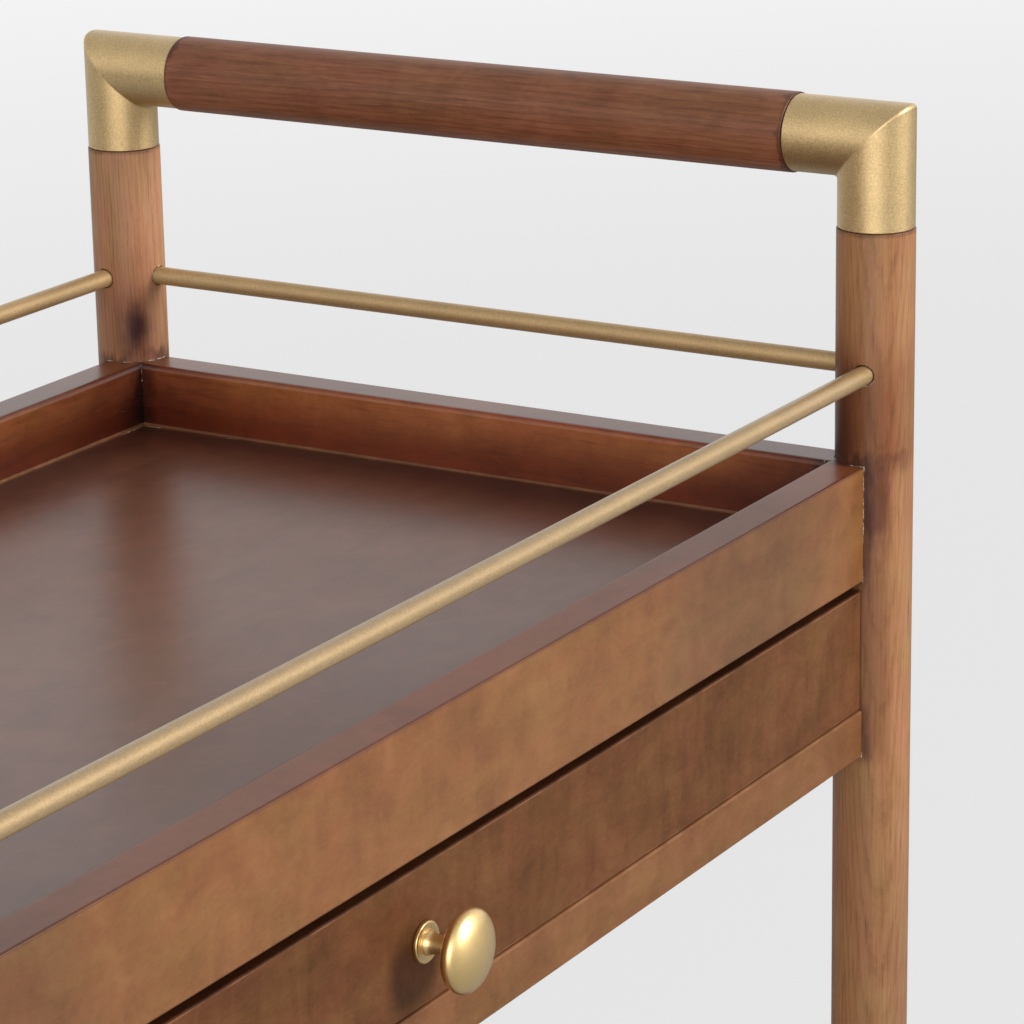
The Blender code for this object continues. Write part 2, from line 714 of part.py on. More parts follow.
def hub_profile():
    bore = AXLE_DIAMETER / 2 + CLEARANCE
    boss = HUB_BOSS_DIAMETER / 2
    boss_end = FORK_INNER - CLEARANCE
    web = HUB_WEB_THICKNESS / 2
    rim = WHEEL_RADIUS - TYRE_DEPTH - CLEARANCE
    rim_inner = rim - HUB_RIM_DEPTH
    edge = TYRE_WIDTH / 2
    upper = [
        (bore, boss_end),
        (boss, boss_end),
        (boss, web),
        (rim_inner, web),
        (rim_inner, edge),
        (rim, edge),
    ]
    return upper + mirrored(upper)


def tyre_profile():
    """The tread's flats touch the floor, so its corners stand a little further out."""
    tread = WHEEL_RADIUS / math.cos(math.pi / FINE_STEPS)
    bore = WHEEL_RADIUS - TYRE_DEPTH
    edge = TYRE_WIDTH / 2
    shoulder = tread - TYRE_CHAMFER
    upper = [(bore, edge), (shoulder, edge), (tread, edge - TYRE_CHAMFER)]
    return upper + mirrored(upper)


def make_castors():
    """A castor on each post, trailing towards the middle of the cart."""
    fork = fork_mesh()
    flat_down = math.pi / FINE_STEPS
    for corner, (along, _) in CORNERS.items():
        turn = 180 if along > 0 else 0
        swivel = make_empty(f"swivel_{corner}", CART, corner_place(corner), turn)
        hub = make_empty(f"hub_{corner}", swivel, (CASTOR_TRAIL, 0, WHEEL_RADIUS))
        across = (math.radians(90), flat_down, 0)
        names = {piece: f"castor_{piece}_{corner}" for piece in CASTOR_PIECES}
        add_turned(names["socket"], socket_profile(), MEDIUM_STEPS, "brass", swivel, closed=True)
        add_turned(names["stem"], stem_profile(), COARSE_STEPS, "steel", swivel)
        add_part(names["fork"], fork, "brass", swivel)
        turned = {"parent": hub, "rotation": across}
        add_turned(names["axle"], axle_profile(), COARSE_STEPS, "steel", **turned)
        add_turned(names["wheel"], hub_profile(), FINE_STEPS, "brass", **turned, closed=True)
        add_turned(names["tyre"], tyre_profile(), FINE_STEPS, "rubber", **turned, closed=True)


make_rods()
make_tray()
make_shelf()
make_handles()
make_knob(make_drawer(make_runners()))
make_castors()
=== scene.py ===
"""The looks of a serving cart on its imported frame.

Smooth turned posts and handles, boards with eased edges, satin gold fittings, a drawer and castors,
with procedural wood, metal and rubber. Metres, +Z up; X runs along the cart and the drawer faces -Y.
"""

import json
import math
import random

import bmesh
import bpy
from mathutils import Matrix, Vector

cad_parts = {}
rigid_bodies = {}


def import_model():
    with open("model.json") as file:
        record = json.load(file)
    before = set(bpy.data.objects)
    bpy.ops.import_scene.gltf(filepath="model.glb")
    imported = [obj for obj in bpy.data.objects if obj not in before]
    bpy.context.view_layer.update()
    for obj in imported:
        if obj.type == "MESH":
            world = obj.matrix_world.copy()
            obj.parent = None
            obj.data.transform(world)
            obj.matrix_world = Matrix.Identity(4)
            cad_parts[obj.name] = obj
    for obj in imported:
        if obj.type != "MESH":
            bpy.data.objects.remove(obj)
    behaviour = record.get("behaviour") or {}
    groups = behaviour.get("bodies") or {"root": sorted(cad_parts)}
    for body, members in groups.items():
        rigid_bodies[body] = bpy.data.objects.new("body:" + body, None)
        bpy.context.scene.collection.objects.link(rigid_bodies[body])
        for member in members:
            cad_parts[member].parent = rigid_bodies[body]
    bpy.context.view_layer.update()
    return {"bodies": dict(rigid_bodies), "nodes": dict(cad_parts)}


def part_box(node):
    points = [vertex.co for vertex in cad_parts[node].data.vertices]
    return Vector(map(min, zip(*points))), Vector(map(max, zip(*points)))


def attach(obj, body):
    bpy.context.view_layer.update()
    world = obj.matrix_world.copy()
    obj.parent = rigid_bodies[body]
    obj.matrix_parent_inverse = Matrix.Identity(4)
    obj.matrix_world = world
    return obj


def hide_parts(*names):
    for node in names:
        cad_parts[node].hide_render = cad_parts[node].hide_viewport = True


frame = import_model()

# Finish of the shapes
TURN_STEPS = 96
SMALL_TURN_STEPS = 48
EASE_STEPS = 4
EASE_SHARE = 0.45
SHARP_ANGLE = math.radians(40)
MERGE_DISTANCE = 1e-6
WELD_DISTANCE = 1e-5
SEAM = 0.00015
WOOD_EASE = 0.0005
BOARD_EASE = 0.0010
BOARD_INNER_EASE = 0.0024
BOARD_FLAT_STEPS = 16
PANEL_EASE = 0.0008
DRAWER_EASE = 0.0010
ELBOW_MITRE_ROUND = 0.0005
ELBOW_CORNER_ROUND = 0.0016
ELBOW_LIP = 0.0004
ELBOW_ARC_STEPS = 6
ROD_HOLE_GAP = 0.0005
ROD_HOLE_DEPTH = 0.006
TRAY_BEAD = 0.0012

# Sides and corners: the turn that points a side's local Y inwards
SIDE_TURNS = {"front": 0, "right": 90, "back": 180, "left": -90}
CORNERS = ("front_left", "front_right", "back_left", "back_right")
SQUARE = ((-1, -1), (1, -1), (1, 1), (-1, 1))


def middle(node):
    low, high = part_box(node)
    return (low + high) / 2


def size(node):
    low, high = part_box(node)
    return high - low


def side_corners(side):
    return [corner for corner in CORNERS if side in corner.split("_")]


# Places read from the frame
POST_AXES = {corner: middle(f"post_{corner}") for corner in CORNERS}
POST_RADIUS = size("post_front_right").x / 2
HANDLE_RADIUS = size("handle_right").x / 2
ELBOW_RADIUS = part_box("elbow_front_right")[1].x - POST_AXES["front_right"].x
ELBOW_FOOT_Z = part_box("elbow_front_right")[0].z
HANDLE_Z = middle("handle_right").z
ELBOW_LEG = HANDLE_Z - ELBOW_FOOT_Z
ROD_RADIUS = size("gallery_rod_front").z / 2
RIM_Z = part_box("apron_front")[1].z
CASE_FOOT_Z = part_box("front_rail")[0].z
SHELF_RIM_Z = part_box("shelf_rail_front")[1].z
SHELF_FOOT_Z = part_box("shelf_rail_front")[0].z
TRAY_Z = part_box("tray_floor")[1].z
SHELF_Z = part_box("shelf_panel")[1].z
BOARD_OUTSET = POST_AXES["front_right"].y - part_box("apron_front")[0].y
BOARD_THICKNESS = size("apron_front").y
BOARD_INSET = BOARD_THICKNESS - BOARD_OUTSET
HALF_LENGTH = (POST_AXES["front_right"].x - POST_AXES["front_left"].x) / 2
HALF_WIDTH = (POST_AXES["back_right"].y - POST_AXES["front_right"].y) / 2
MIDDLE_Y = (POST_AXES["back_right"].y + POST_AXES["front_right"].y) / 2
WHEEL_RADIUS = middle("castor_tyre_front_right").z
TYRE_HALF = size("castor_tyre_front_right").y / 2
FORK_HALF = size("castor_fork_front_right").y / 2
CROWN_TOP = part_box("castor_fork_front_right")[1].z


def turned_by(degrees, axis):
    return Matrix.Rotation(math.radians(degrees), 4, axis)


def post_place(corner, height=0.0):
    """Moves to a post's axis, at a height above the floor."""
    axis = POST_AXES[corner]
    return Matrix.Translation((axis.x, axis.y, height))


def side_half(side):
    return HALF_LENGTH if side in ("front", "back") else HALF_WIDTH


def side_matrix(side):
    """Local X along the side, local Y inwards, from the floor midway between the side's posts."""
    one, other = (POST_AXES[corner] for corner in side_corners(side))
    place = (one + other) / 2
    place.z = 0
    return Matrix.Translation(place) @ turned_by(SIDE_TURNS[side], "Z")


# Material nodes: a colour mix node's sockets go by number, since several of them share a name
MIX_FACTOR, MIX_ONE, MIX_OTHER, MIX_RESULT = 0, 6, 7, 2


class Field:
    """A value that changes over a surface, kept as a node's socket; sums and products add nodes."""

    def __init__(self, tree, socket):
        self.tree = tree
        self.socket = socket

    def __add__(self, other):
        return maths("ADD", self, other)

    def __sub__(self, other):
        return maths("SUBTRACT", self, other)

    def __rsub__(self, other):
        return maths("SUBTRACT", other, self)

    def __mul__(self, other):
        return maths("MULTIPLY", self, other)


def connect(value, socket):
    """Links a field to a socket, or sets a plain number, direction or colour."""
    if isinstance(value, Field):
        value.tree.links.new(value.socket, socket)
    elif isinstance(value, tuple) and socket.type == "RGBA":
        socket.default_value = (*value, 1.0)
    else:
        socket.default_value = value


def set_inputs(node, **values):
    for name, value in values.items():
        connect(value, node.inputs[name.replace("_", " ").title()])


def add_node(tree, kind, output, **inputs):
    """The output of a new node with its inputs set."""
    node = tree.nodes.new(kind)
    set_inputs(node, **inputs)
    return Field(tree, node.outputs[output])


def coordinates(tree, kind):
    return add_node(tree, "ShaderNodeTexCoord", kind)


def new_material(name):
    """A material, its shader and the places on its object."""
    material = bpy.data.materials.new(name)
    material.use_nodes = True
    tree = material.node_tree
    return material, tree.nodes["Principled BSDF"], coordinates(tree, "Object")


def maths(operation, *values, kind="ShaderNodeMath"):
    """An operation on fields and plain values."""
    tree = next(value.tree for value in values if isinstance(value, Field))
    node = tree.nodes.new(kind)
    node.operation = operation
    for value, socket in zip(values, node.inputs):
        connect(value, socket)
    return Field(tree, node.outputs["Value"])


def scaled(places, scale, shift=(0, 0, 0)):
    return add_node(places.tree, "ShaderNodeMapping", "Vector", vector=places, scale=scale, location=shift)


def stretched(places, axis, along):
    """Places that draw a texture out along one axis."""
    return scaled(places, tuple(along if name == axis else 1.0 for name in "xyz"))


def noise(places, scale, detail=2.0, roughness=0.5, distortion=0.0):
    settings = {"scale": scale, "detail": detail, "roughness": roughness, "distortion": distortion}
    return add_node(places.tree, "ShaderNodeTexNoise", "Fac", vector=places, **settings)


def ramp(value, stops):
    """Colours or greys along a value from 0 to 1; a stop is (position, grey or colour)."""
    node = value.tree.nodes.new("ShaderNodeValToRGB")
    elements = node.color_ramp.elements
    while len(elements) < len(stops):
        elements.new(0.5)
    for element, (position, tone) in zip(elements, stops):
        element.position = position
        colour = (tone, tone, tone) if isinstance(tone, (int, float)) else tone
        element.color = (*colour, 1.0)
    connect(value, node.inputs["Fac"])
    return Field(value.tree, node.outputs["Color"])


def smooth_step(value, low, high):
    """0 below low and 1 above high; low may be the larger one."""
    node = value.tree.nodes.new("ShaderNodeMapRange")
    node.interpolation_type = "SMOOTHSTEP"
    set_inputs(node, value=value, from_min=low, from_max=high)
    return Field(value.tree, node.outputs["Result"])


def tinted(colour, mask, tint, mode="MULTIPLY"):
    """A colour under a tint, as far as a mask lets it show."""
    node = colour.tree.nodes.new("ShaderNodeMix")
    node.data_type = "RGBA"
    node.blend_type = mode
    for index, value in ((MIX_FACTOR, mask), (MIX_ONE, colour), (MIX_OTHER, tint)):
        connect(value, node.inputs[index])
    return Field(colour.tree, node.outputs[MIX_RESULT])


def separated(vector):
    node = vector.tree.nodes.new("ShaderNodeSeparateXYZ")
    set_inputs(node, vector=vector)
    return [Field(vector.tree, output) for output in node.outputs]


def eased_mark(places):
    """1 on the faces that were marked as eased edges."""
    node = places.tree.nodes.new("ShaderNodeAttribute")
    node.attribute_name = "eased"
    return Field(places.tree, node.outputs["Fac"])


def add_bump(shader, height, strength, distance):
    settings = {"height": height, "strength": strength, "distance": distance}
    set_inputs(shader, normal=add_node(height.tree, "ShaderNodeBump", "Normal", **settings))


def distance_to(places, point, shape=(1, 1, 1)):
    """Distance to a point, measured in an ellipsoid's own half sizes."""
    shift = tuple(-place / half for place, half in zip(point, shape))
    local = scaled(places, tuple(1 / half for half in shape), shift)
    return maths("LENGTH", local, kind="ShaderNodeVectorMath")


def from_post_axes(places):
    """How far in from the nearest post's axis a place lies, along the cart and across it."""
    x, y, _ = separated(places)
    return HALF_LENGTH - maths("ABSOLUTE", x), HALF_WIDTH - maths("ABSOLUTE", y - MIDDLE_Y)


# Wood: a ring wave is (stretch along the grain, scale, reach)
RING_SPACING = 0.0017
RING_WAVES = ((0.2, 16, 0.012), (0.35, 130, 0.0014), (0.8, 420, 0.0009))
RING_TONES = ((0.0, 0.60), (0.5, 0.58), (0.80, 0.24), (1.0, 0.60))

# Leans of the growth rings: the direction across their layers
LEVEL = (0.01, 0.01, 1.0)
ARCHED = (-0.80, -0.60, 0.05)
STRAIGHT = (0.45, -0.89, 0.015)
SLOPED = (-0.12, 0.006, 0.59)

# Grain layers: stretch along the grain, scale, detail, roughness, distortion
GRAIN_LAYERS = {
    "bands": (0.03, 230, 3, 0.55, 0.4),
    "lines": (0.05, 1000, 3, 0.6, 0.3),
    "grit": (0.4, 800, 2, 0.6, 0.2),
    "mottle": (0.7, 60, 5, 0.6, 0.7),
    "clouds": (1.0, 17, 3, 0.5, 0.4),
    "hue": (0.4, 75, 3, 0.5, 0.5),
}
UPRIGHT_CURL = (0.3, 110, 3, 0.55, 0.8)
MEAN = 0.5
TONE_STOPS = (0.25, 0.5, 0.75)
PORE_LEVELS = (0.36, 0.29)
BAND_HEIGHT = 0.6
GRAIN_DEPTH = 0.00012

# Tints that multiply the stain, some of them also painted shade, and the bare tone of worn edges
HUE_TINTS = ((0.36, (1.0, 0.91, 0.94)), (0.64, (0.96, 1.0, 0.90)))
PORE_TINT = (0.45, 0.36, 0.34)
# The stain and soaked tints are also painted shade in the inner corners; with the reddened tint they are
# partly painted shade on the posts' sides towards the tray
STAIN_AND_SHADE_TINT = (0.30, 0.21, 0.23)
SOAKED_AND_SHADE_TINT = (0.52, 0.40, 0.40)
REDDENED_AND_SHADE_TINT = (0.54, 0.37, 0.30)
TOP_TINT = (0.76, 0.53, 0.52)
# Painted shade line along the boards' outer eased edges
ARRIS_SHADE_TINT = (0.66, 0.58, 0.54)
INSIDE_TINT = (1.68, 1.33, 1.42)
# Painted shade at the foot of the boards' inner faces
INSIDE_SHADE_TINT = (0.44, 0.23, 0.14)
LINE_TINT = (0.34, 0.28, 0.28)
# Painted shade on hidden faces that look up or down
UNDER_SHADE_TINT = (0.30, 0.22, 0.20)
FOOT_TINT = (0.34, 0.26, 0.30)
SHADE_TINT = (0.68, 0.72, 0.80)
DIM_TINT = (0.61, 0.59, 0.59)
# Painted shade along the panels' edges by the boards
PANEL_SHADE_TINT = (0.50, 0.45, 0.45)
EDGE_TONE = (0.42, 0.20, 0.10)

# Coats: the looks, reaches and levels over which they fade in or out, and their strengths
INSIDE_LOOK = (0.03, 0.10)
TOP_LOOK = (0.35, 0.85)
FOOT_LOOK = (0.4, 0.8)
UP_LOOK = (0.25, 0.75)
DOWN_LOOK = (-0.25, -0.75)
STREAK_REACH = 0.010
STREAK_LEVELS = (0.52, 0.30)
STREAK_STRENGTH = 0.5
INSIDE_SHADE_START = 0.006
PANEL_EDGE = 0.045
# Painted shade in the boards' inner corners
CORNER_RAGGED = 0.012
CORNER_SHADE_SPREAD = (0.090, 0.025)
CORNER_LINE = (0.032, 0.021)
CORNER_STRENGTH = 0.9
FOOT_RAGGED = 0.008
FOOT_RING = (POST_RADIUS + 0.0075, POST_RADIUS + 0.0035)
FOOT_STRENGTH = 0.8
CLOUD_RAGGED = 0.05
CLOUD_OUTER = (0.24, 0.16)
CLOUD_INNER = (0.04, 0.13)
CLOUD_STRENGTH = 0.9
WORN_LEVELS = (0.42, 0.62)
WORN_STRENGTH = 0.30
TRAYWARD = (0.52, 0.86)
BAND_FOOT_FADE = 0.006
SEAM_RAGGED = 0.003
LEVEL_RAGGED = 0.02
POST_SHADE_HEIGHTS = (CASE_FOOT_Z + 0.02, CASE_FOOT_Z - 0.12)
POST_SHADE_DEPTHS = (0.006, -0.010)
POST_SHADE_STRENGTH = 0.6
KNOT_RAGGED = 0.5
KNOT_EDGE = (1.25, 0.35)
LINE_LEVELS = (0.45, 0.75)
LINE_BEFORE = 0.0020
LINE_BEYOND = 0.0004
LINE_STRENGTH = 0.8


def rings(places, grain, lean):
    """Growth rings cut by the surface: nearly flat layers across the lean, which waver and ripple."""
    depth = maths("DOT_PRODUCT", places, lean, kind="ShaderNodeVectorMath")
    for along, scale, reach in RING_WAVES:
        depth = noise(stretched(places, grain, along), scale) * reach + depth
    return ramp(maths("FRACT", maths("DIVIDE", depth, RING_SPACING)), RING_TONES)


def grain_layers(places, grain, lean):
    """The patterns that a figure mixes, each about 0.5 on average."""
    layers = {"rings": rings(places, grain, lean)}
    for name, (along, *settings) in GRAIN_LAYERS.items():
        layers[name] = noise(stretched(places, grain, along), *settings)
    along, *settings = UPRIGHT_CURL
    layers["curl"] = noise(stretched(places, "z", along), *settings)
    return layers


def wood(name, grain, lean, tones, figure, roughness, specular, coats=(), relief=0.16, lacquer=0.0):
    """Stained wood with grain along an axis and growth rings across the lean.

    tones are the dark, middle and light stain; figure says how much each grain layer counts; coats
    change the colour at joints, edges and faces.
    """
    material, shader, places = new_material(name)
    layers = grain_layers(places, grain, lean)
    tone = MEAN
    for layer, weight in figure.items():
        tone = (layers[layer] - MEAN) * weight + tone
    colour = ramp(tone, list(zip(TONE_STOPS, tones)))
    colour = tinted(colour, 1.0, ramp(layers["hue"], HUE_TINTS))
    pores = smooth_step(layers["lines"], *PORE_LEVELS)
    colour = tinted(colour, pores * figure.get("lines", 0.0), PORE_TINT)
    for coat in coats:
        colour = coat(places, colour)
    uneven = (layers["bands"] - MEAN) * relief + roughness
    set_inputs(shader, base_color=colour, roughness=uneven, coat_weight=lacquer, coat_roughness=roughness)
    shader.inputs["Specular IOR Level"].default_value = specular
    add_bump(shader, layers["lines"] + layers["bands"] * BAND_HEIGHT, relief, GRAIN_DEPTH)
    return material


def upward(places, low, high):
    """1 on faces that look up, or down where low and high are below zero."""
    return smooth_step(separated(coordinates(places.tree, "Normal"))[2], low, high)


def below_rim(places):
    """How far a place lies below the top of its own boards, those of the tray or of the shelf."""
    height = separated(places)[2]
    tray = maths("GREATER_THAN", height, (CASE_FOOT_Z + SHELF_RIM_Z) / 2)
    return tray * (RIM_Z - SHELF_RIM_Z) + SHELF_RIM_Z - height


def inside_faces(places):
    """1 on faces that look to the middle of the cart."""
    x, y, _ = separated(places)
    normal_x, normal_y, _ = separated(coordinates(places.tree, "Normal"))
    return smooth_step(normal_x * (0.0 - x) + normal_y * (MIDDLE_Y - y), *INSIDE_LOOK)


def dark_top(places, colour):
    """Upward faces of the boards took the stain darker; their outer eased edges get a painted shade line."""
    colour = tinted(colour, upward(places, *TOP_LOOK), TOP_TINT)
    return tinted(colour, eased_mark(places) * (1.0 - inside_faces(places)), ARRIS_SHADE_TINT)


def painted_shade_faces(low, high):
    """Painted shade on hidden faces that look up or down, and on their eased edges."""
    def coat(places, colour):
        return tinted(colour, upward(places, low, high), UNDER_SHADE_TINT)
    return coat


def red_inside(places, colour):
    """The boards' inner faces are redder and streaked along their length, and painted shade darkens them
    towards the panel.
    """
    inside = inside_faces(places)
    streaks = noise(scaled(places, (0.10, 0.10, 1.0)), 320, 4, 0.6, 0.5)
    depth = streaks * STREAK_REACH + below_rim(places)
    colour = tinted(colour, inside, INSIDE_TINT)
    # Painted shade: the inner faces darken towards the panel
    dark = inside * smooth_step(depth, INSIDE_SHADE_START, RIM_Z - TRAY_Z)
    colour = tinted(colour, dark, INSIDE_SHADE_TINT)
    return tinted(colour, inside * smooth_step(streaks, *STREAK_LEVELS) * STREAK_STRENGTH, PORE_TINT)


def dim_inside(places, colour):
    """The inner faces of the long boards are darker than those of the ends."""
    return tinted(colour, inside_faces(places), DIM_TINT)


def shaded_panel(places, colour):
    """Painted shade: a panel is darker along the boards."""
    near = maths("MINIMUM", *from_post_axes(places)) - BOARD_INSET
    return tinted(colour, smooth_step(near, PANEL_EDGE, 0.0), PANEL_SHADE_TINT)


def corner_shade(places, colour):
    """Painted shade on the boards' inner faces, darkest close to the inner corners."""
    reach = noise(places, 240, 2) * CORNER_RAGGED + maths("MAXIMUM", *from_post_axes(places))
    inside = inside_faces(places)
    colour = tinted(colour, smooth_step(reach, *CORNER_SHADE_SPREAD) * inside, SOAKED_AND_SHADE_TINT)
    return tinted(colour, smooth_step(reach, *CORNER_LINE) * inside * CORNER_STRENGTH, STAIN_AND_SHADE_TINT)


def foot_stain(places, colour):
    """Stain that gathered on the boards' tops round the posts' feet, in a ragged ring."""
    along, across = from_post_axes(places)
    reach = noise(places, 300, 3, 0.6) * FOOT_RAGGED + maths("SQRT", along * along + across * across)
    ring = smooth_step(reach, *FOOT_RING) * upward(places, *FOOT_LOOK)
    return tinted(colour, ring * FOOT_STRENGTH, FOOT_TINT)


def shaded_ends(places, colour):
    """The boards' outer faces are darker in a broad cloud a hand's width from the posts."""
    reach = noise(places, 40, 3) * CLOUD_RAGGED + maths("MAXIMUM", *from_post_axes(places))
    cloud = smooth_step(reach, *CLOUD_OUTER) * smooth_step(reach, *CLOUD_INNER)
    return tinted(colour, cloud * (1.0 - inside_faces(places)) * CLOUD_STRENGTH, SHADE_TINT)


def worn_edges(places, colour):
    """A little stain is rubbed off the eased edges, in patches."""
    patches = smooth_step(noise(places, 60, 3), *WORN_LEVELS)
    return tinted(colour, eased_mark(places) * patches * WORN_STRENGTH, EDGE_TONE, "MIX")


def towards_tray(along, across):
    """How far a place on a post lies from the post's axis, towards the middle of the tray."""
    return along * TRAYWARD[0] + across * TRAYWARD[1]


def stain_and_shade_mask(level, near, heights, depths, strength):
    """A band of stain, or of stain with painted shade, from one height up to another, fading over a length,
    on the sides towards the boards or the tray.
    """
    foot, top, fade = heights
    rise = smooth_step(level, foot - BAND_FOOT_FADE, foot + BAND_FOOT_FADE)
    return rise * smooth_step(level, top + fade, top) * smooth_step(near, *depths) * strength


def post_stain_and_shade(soaked, sided):
    """Stain that soaked the posts about the boards, darkest along the seams and the boards' tops; on the
    sides towards the tray it is partly painted shade.

    A row is (foot, top and fade of its heights), (depths towards the boards, or the tray in the second
    list), tint and strength.
    """
    def coat(places, colour):
        along, across = from_post_axes(places)
        ragged = noise(stretched(places, "z", 0.3), 190, 3, 0.6) - MEAN
        near = ragged * SEAM_RAGGED + maths("MAXIMUM", along, across)
        height = separated(places)[2]
        level = ragged * LEVEL_RAGGED + height
        inwards = towards_tray(along, across)
        for foot, rim in ((CASE_FOOT_Z, RIM_Z), (SHELF_FOOT_Z, SHELF_RIM_Z)):
            for heights, depths, tint, strength in (
                ((foot, rim - 0.004, 0.006), (0.0070, 0.0135), SOAKED_AND_SHADE_TINT, 0.55),
                ((rim - 0.030, rim - 0.004, 0.008), (0.0085, 0.0130), SOAKED_AND_SHADE_TINT, soaked),
                ((rim - 0.050, rim + 0.001, 0.006), (0.0142, 0.0155), STAIN_AND_SHADE_TINT, 0.7),
                ((foot, foot + 0.016, 0.010), (0.0142, 0.0155), STAIN_AND_SHADE_TINT, 0.6),
                ((rim, rim + 0.001, 0.005), (-0.002, 0.006), STAIN_AND_SHADE_TINT, 0.7),
            ):
                colour = tinted(colour, stain_and_shade_mask(level, near, heights, depths, strength), tint)
            # Partly stain and partly painted shade, on the posts' sides towards the tray
            for heights, depths, tint, strength in (
                ((rim, rim + 0.026, 0.036), (-0.040, 0.014), REDDENED_AND_SHADE_TINT, 1.0),
                ((rim, rim + 0.012, 0.070), (0.006, 0.016), SOAKED_AND_SHADE_TINT, 0.8),
                ((rim, rim + 0.006, 0.030), (0.004, 0.016), STAIN_AND_SHADE_TINT, 0.8),
            ):
                colour = tinted(colour, stain_and_shade_mask(height, inwards, heights, depths, strength * sided), tint)
        return colour
    return coat


def shaded_foot(places, colour):
    """Painted shade: the posts are a little darker below the case, on the sides away from the shelf."""
    low = smooth_step(separated(places)[2], *POST_SHADE_HEIGHTS)
    outer = smooth_step(towards_tray(*from_post_axes(places)), *POST_SHADE_DEPTHS)
    return tinted(colour, low * outer * POST_SHADE_STRENGTH, SHADE_TINT)


def knot(point, shape, tint, depth):
    """A dark knot with a ragged edge."""
    def coat(places, colour):
        ragged = noise(stretched(places, "z", 0.4), 300, 3)
        reach = ragged * KNOT_RAGGED + distance_to(places, point, shape)
        return tinted(colour, smooth_step(reach, *KNOT_EDGE) * depth, tint)
    return coat


def end_line(axis, centre, reach, spread):
    """Stain that gathered where round wood meets a metal fitting, in a line that spreads in places."""
    def coat(places, colour):
        ragged = smooth_step(noise(places, 70, 4, 0.6), *LINE_LEVELS)
        along = ragged * spread + maths("ABSOLUTE", separated(places)[axis] - centre)
        line = smooth_step(along, reach - LINE_BEFORE, reach + LINE_BEYOND)
        return tinted(colour, line * LINE_STRENGTH, LINE_TINT)
    return coat


# Metal, rubber and glue
GRIT_SHARE = 0.8
GRIT_ROUGHNESS = 0.16
GRIT_RELIEF = 0.4
GRIT_DEPTH = 0.0001
GOLD_STOPS = (0.3, 0.5, 0.7)
STEEL_ROUGHNESS = (0.25, 0.45)
STEEL_RELIEF = 0.1
STEEL_DEPTH = 0.00005
RUBBER_ROUGHNESS = (0.65, 0.85)
RUBBER_RELIEF = 0.25
GLUE_ROUGHNESS = (0.25, 0.55)
STEEL_TONES = ((0.3, (0.46, 0.46, 0.47)), (0.7, (0.64, 0.64, 0.63)))
RUBBER_TONES = ((0.35, (0.020, 0.019, 0.018)), (0.75, (0.060, 0.055, 0.050)))
GLUE_TONES = ((0.40, (0.13, 0.06, 0.04)), (0.50, (0.45, 0.31, 0.23)), (0.62, (0.76, 0.63, 0.53)))


def between(value, low, high):
    """A value from 0 to 1 spread over a range."""
    return value * (high - low) + low


def satin_gold(name, colour, metallic, roughness, speckle, coat, coat_roughness):
    """Gold-coloured metal with a fine satin speckle under clear lacquer."""
    material, shader, places = new_material(name)
    grit = noise(places, 1500, 2, 0.6)
    cloud = noise(places, 90, 3, 0.5)
    dark = tuple(channel * (1 - speckle) for channel in colour)
    light = tuple(min(1.0, channel * (1 + speckle)) for channel in colour)
    tone = grit * GRIT_SHARE + cloud * (1 - GRIT_SHARE)
    base = ramp(tone, list(zip(GOLD_STOPS, (dark, colour, light))))
    uneven = (grit - MEAN) * GRIT_ROUGHNESS + roughness
    set_inputs(shader, base_color=base, metallic=metallic, roughness=uneven)
    set_inputs(shader, coat_weight=coat, coat_roughness=coat_roughness)
    add_bump(shader, grit, GRIT_RELIEF * speckle, GRIT_DEPTH)
    return material


def plated_steel(name):
    """Zinc-plated steel with faint turning marks."""
    material, shader, places = new_material(name)
    marks = noise(scaled(places, (1, 1, 8)), 700, 2)
    base = ramp(noise(places, 120, 3), STEEL_TONES)
    set_inputs(shader, base_color=base, metallic=1.0, roughness=between(marks, *STEEL_ROUGHNESS))
    add_bump(shader, marks, STEEL_RELIEF, STEEL_DEPTH)
    return material


def tyre_rubber(name):
    """Matte dark rubber with dust."""
    material, shader, places = new_material(name)
    dust = noise(places, 220, 4, 0.65)
    roughness = between(dust, *RUBBER_ROUGHNESS)
    set_inputs(shader, base_color=ramp(dust, RUBBER_TONES), roughness=roughness)
    add_bump(shader, noise(places, 1800, 2), RUBBER_RELIEF, GRIT_DEPTH)
    return material


def dried_glue(name):
    """Pale squeezed-out glue, yellowed and stained in places."""
    material, shader, places = new_material(name)
    tint = noise(places, 420, 3)
    set_inputs(shader, base_color=ramp(tint, GLUE_TONES), roughness=between(tint, *GLUE_ROUGHNESS))
    return material


# Stains of the wood: a dark, a middle and a light tone
POST_TONES = ((0.22, 0.090, 0.035), (0.400, 0.190, 0.084), (0.515, 0.282, 0.140))
PALE_TONES = ((0.29, 0.130, 0.058), (0.53, 0.275, 0.142), (0.66, 0.385, 0.215))
HANDLE_TONES = ((0.13, 0.041, 0.016), (0.248, 0.090, 0.041), (0.36, 0.152, 0.076))
BOARD_TONES = ((0.16, 0.058, 0.017), (0.262, 0.107, 0.033), (0.345, 0.154, 0.056))
RAIL_TONES = ((0.14, 0.053, 0.017), (0.219, 0.094, 0.035), (0.30, 0.140, 0.058))
DRAWER_TONES = ((0.080, 0.028, 0.010), (0.147, 0.057, 0.021), (0.220, 0.095, 0.038))
TRAY_TONES = ((0.108, 0.032, 0.015), (0.156, 0.049, 0.024), (0.212, 0.074, 0.038))
BEAD_TONES = ((0.12, 0.040, 0.014), (0.20, 0.080, 0.033), (0.33, 0.15, 0.075))
BIRCH_TONES = ((0.46, 0.30, 0.17), (0.58, 0.42, 0.26), (0.68, 0.53, 0.36))

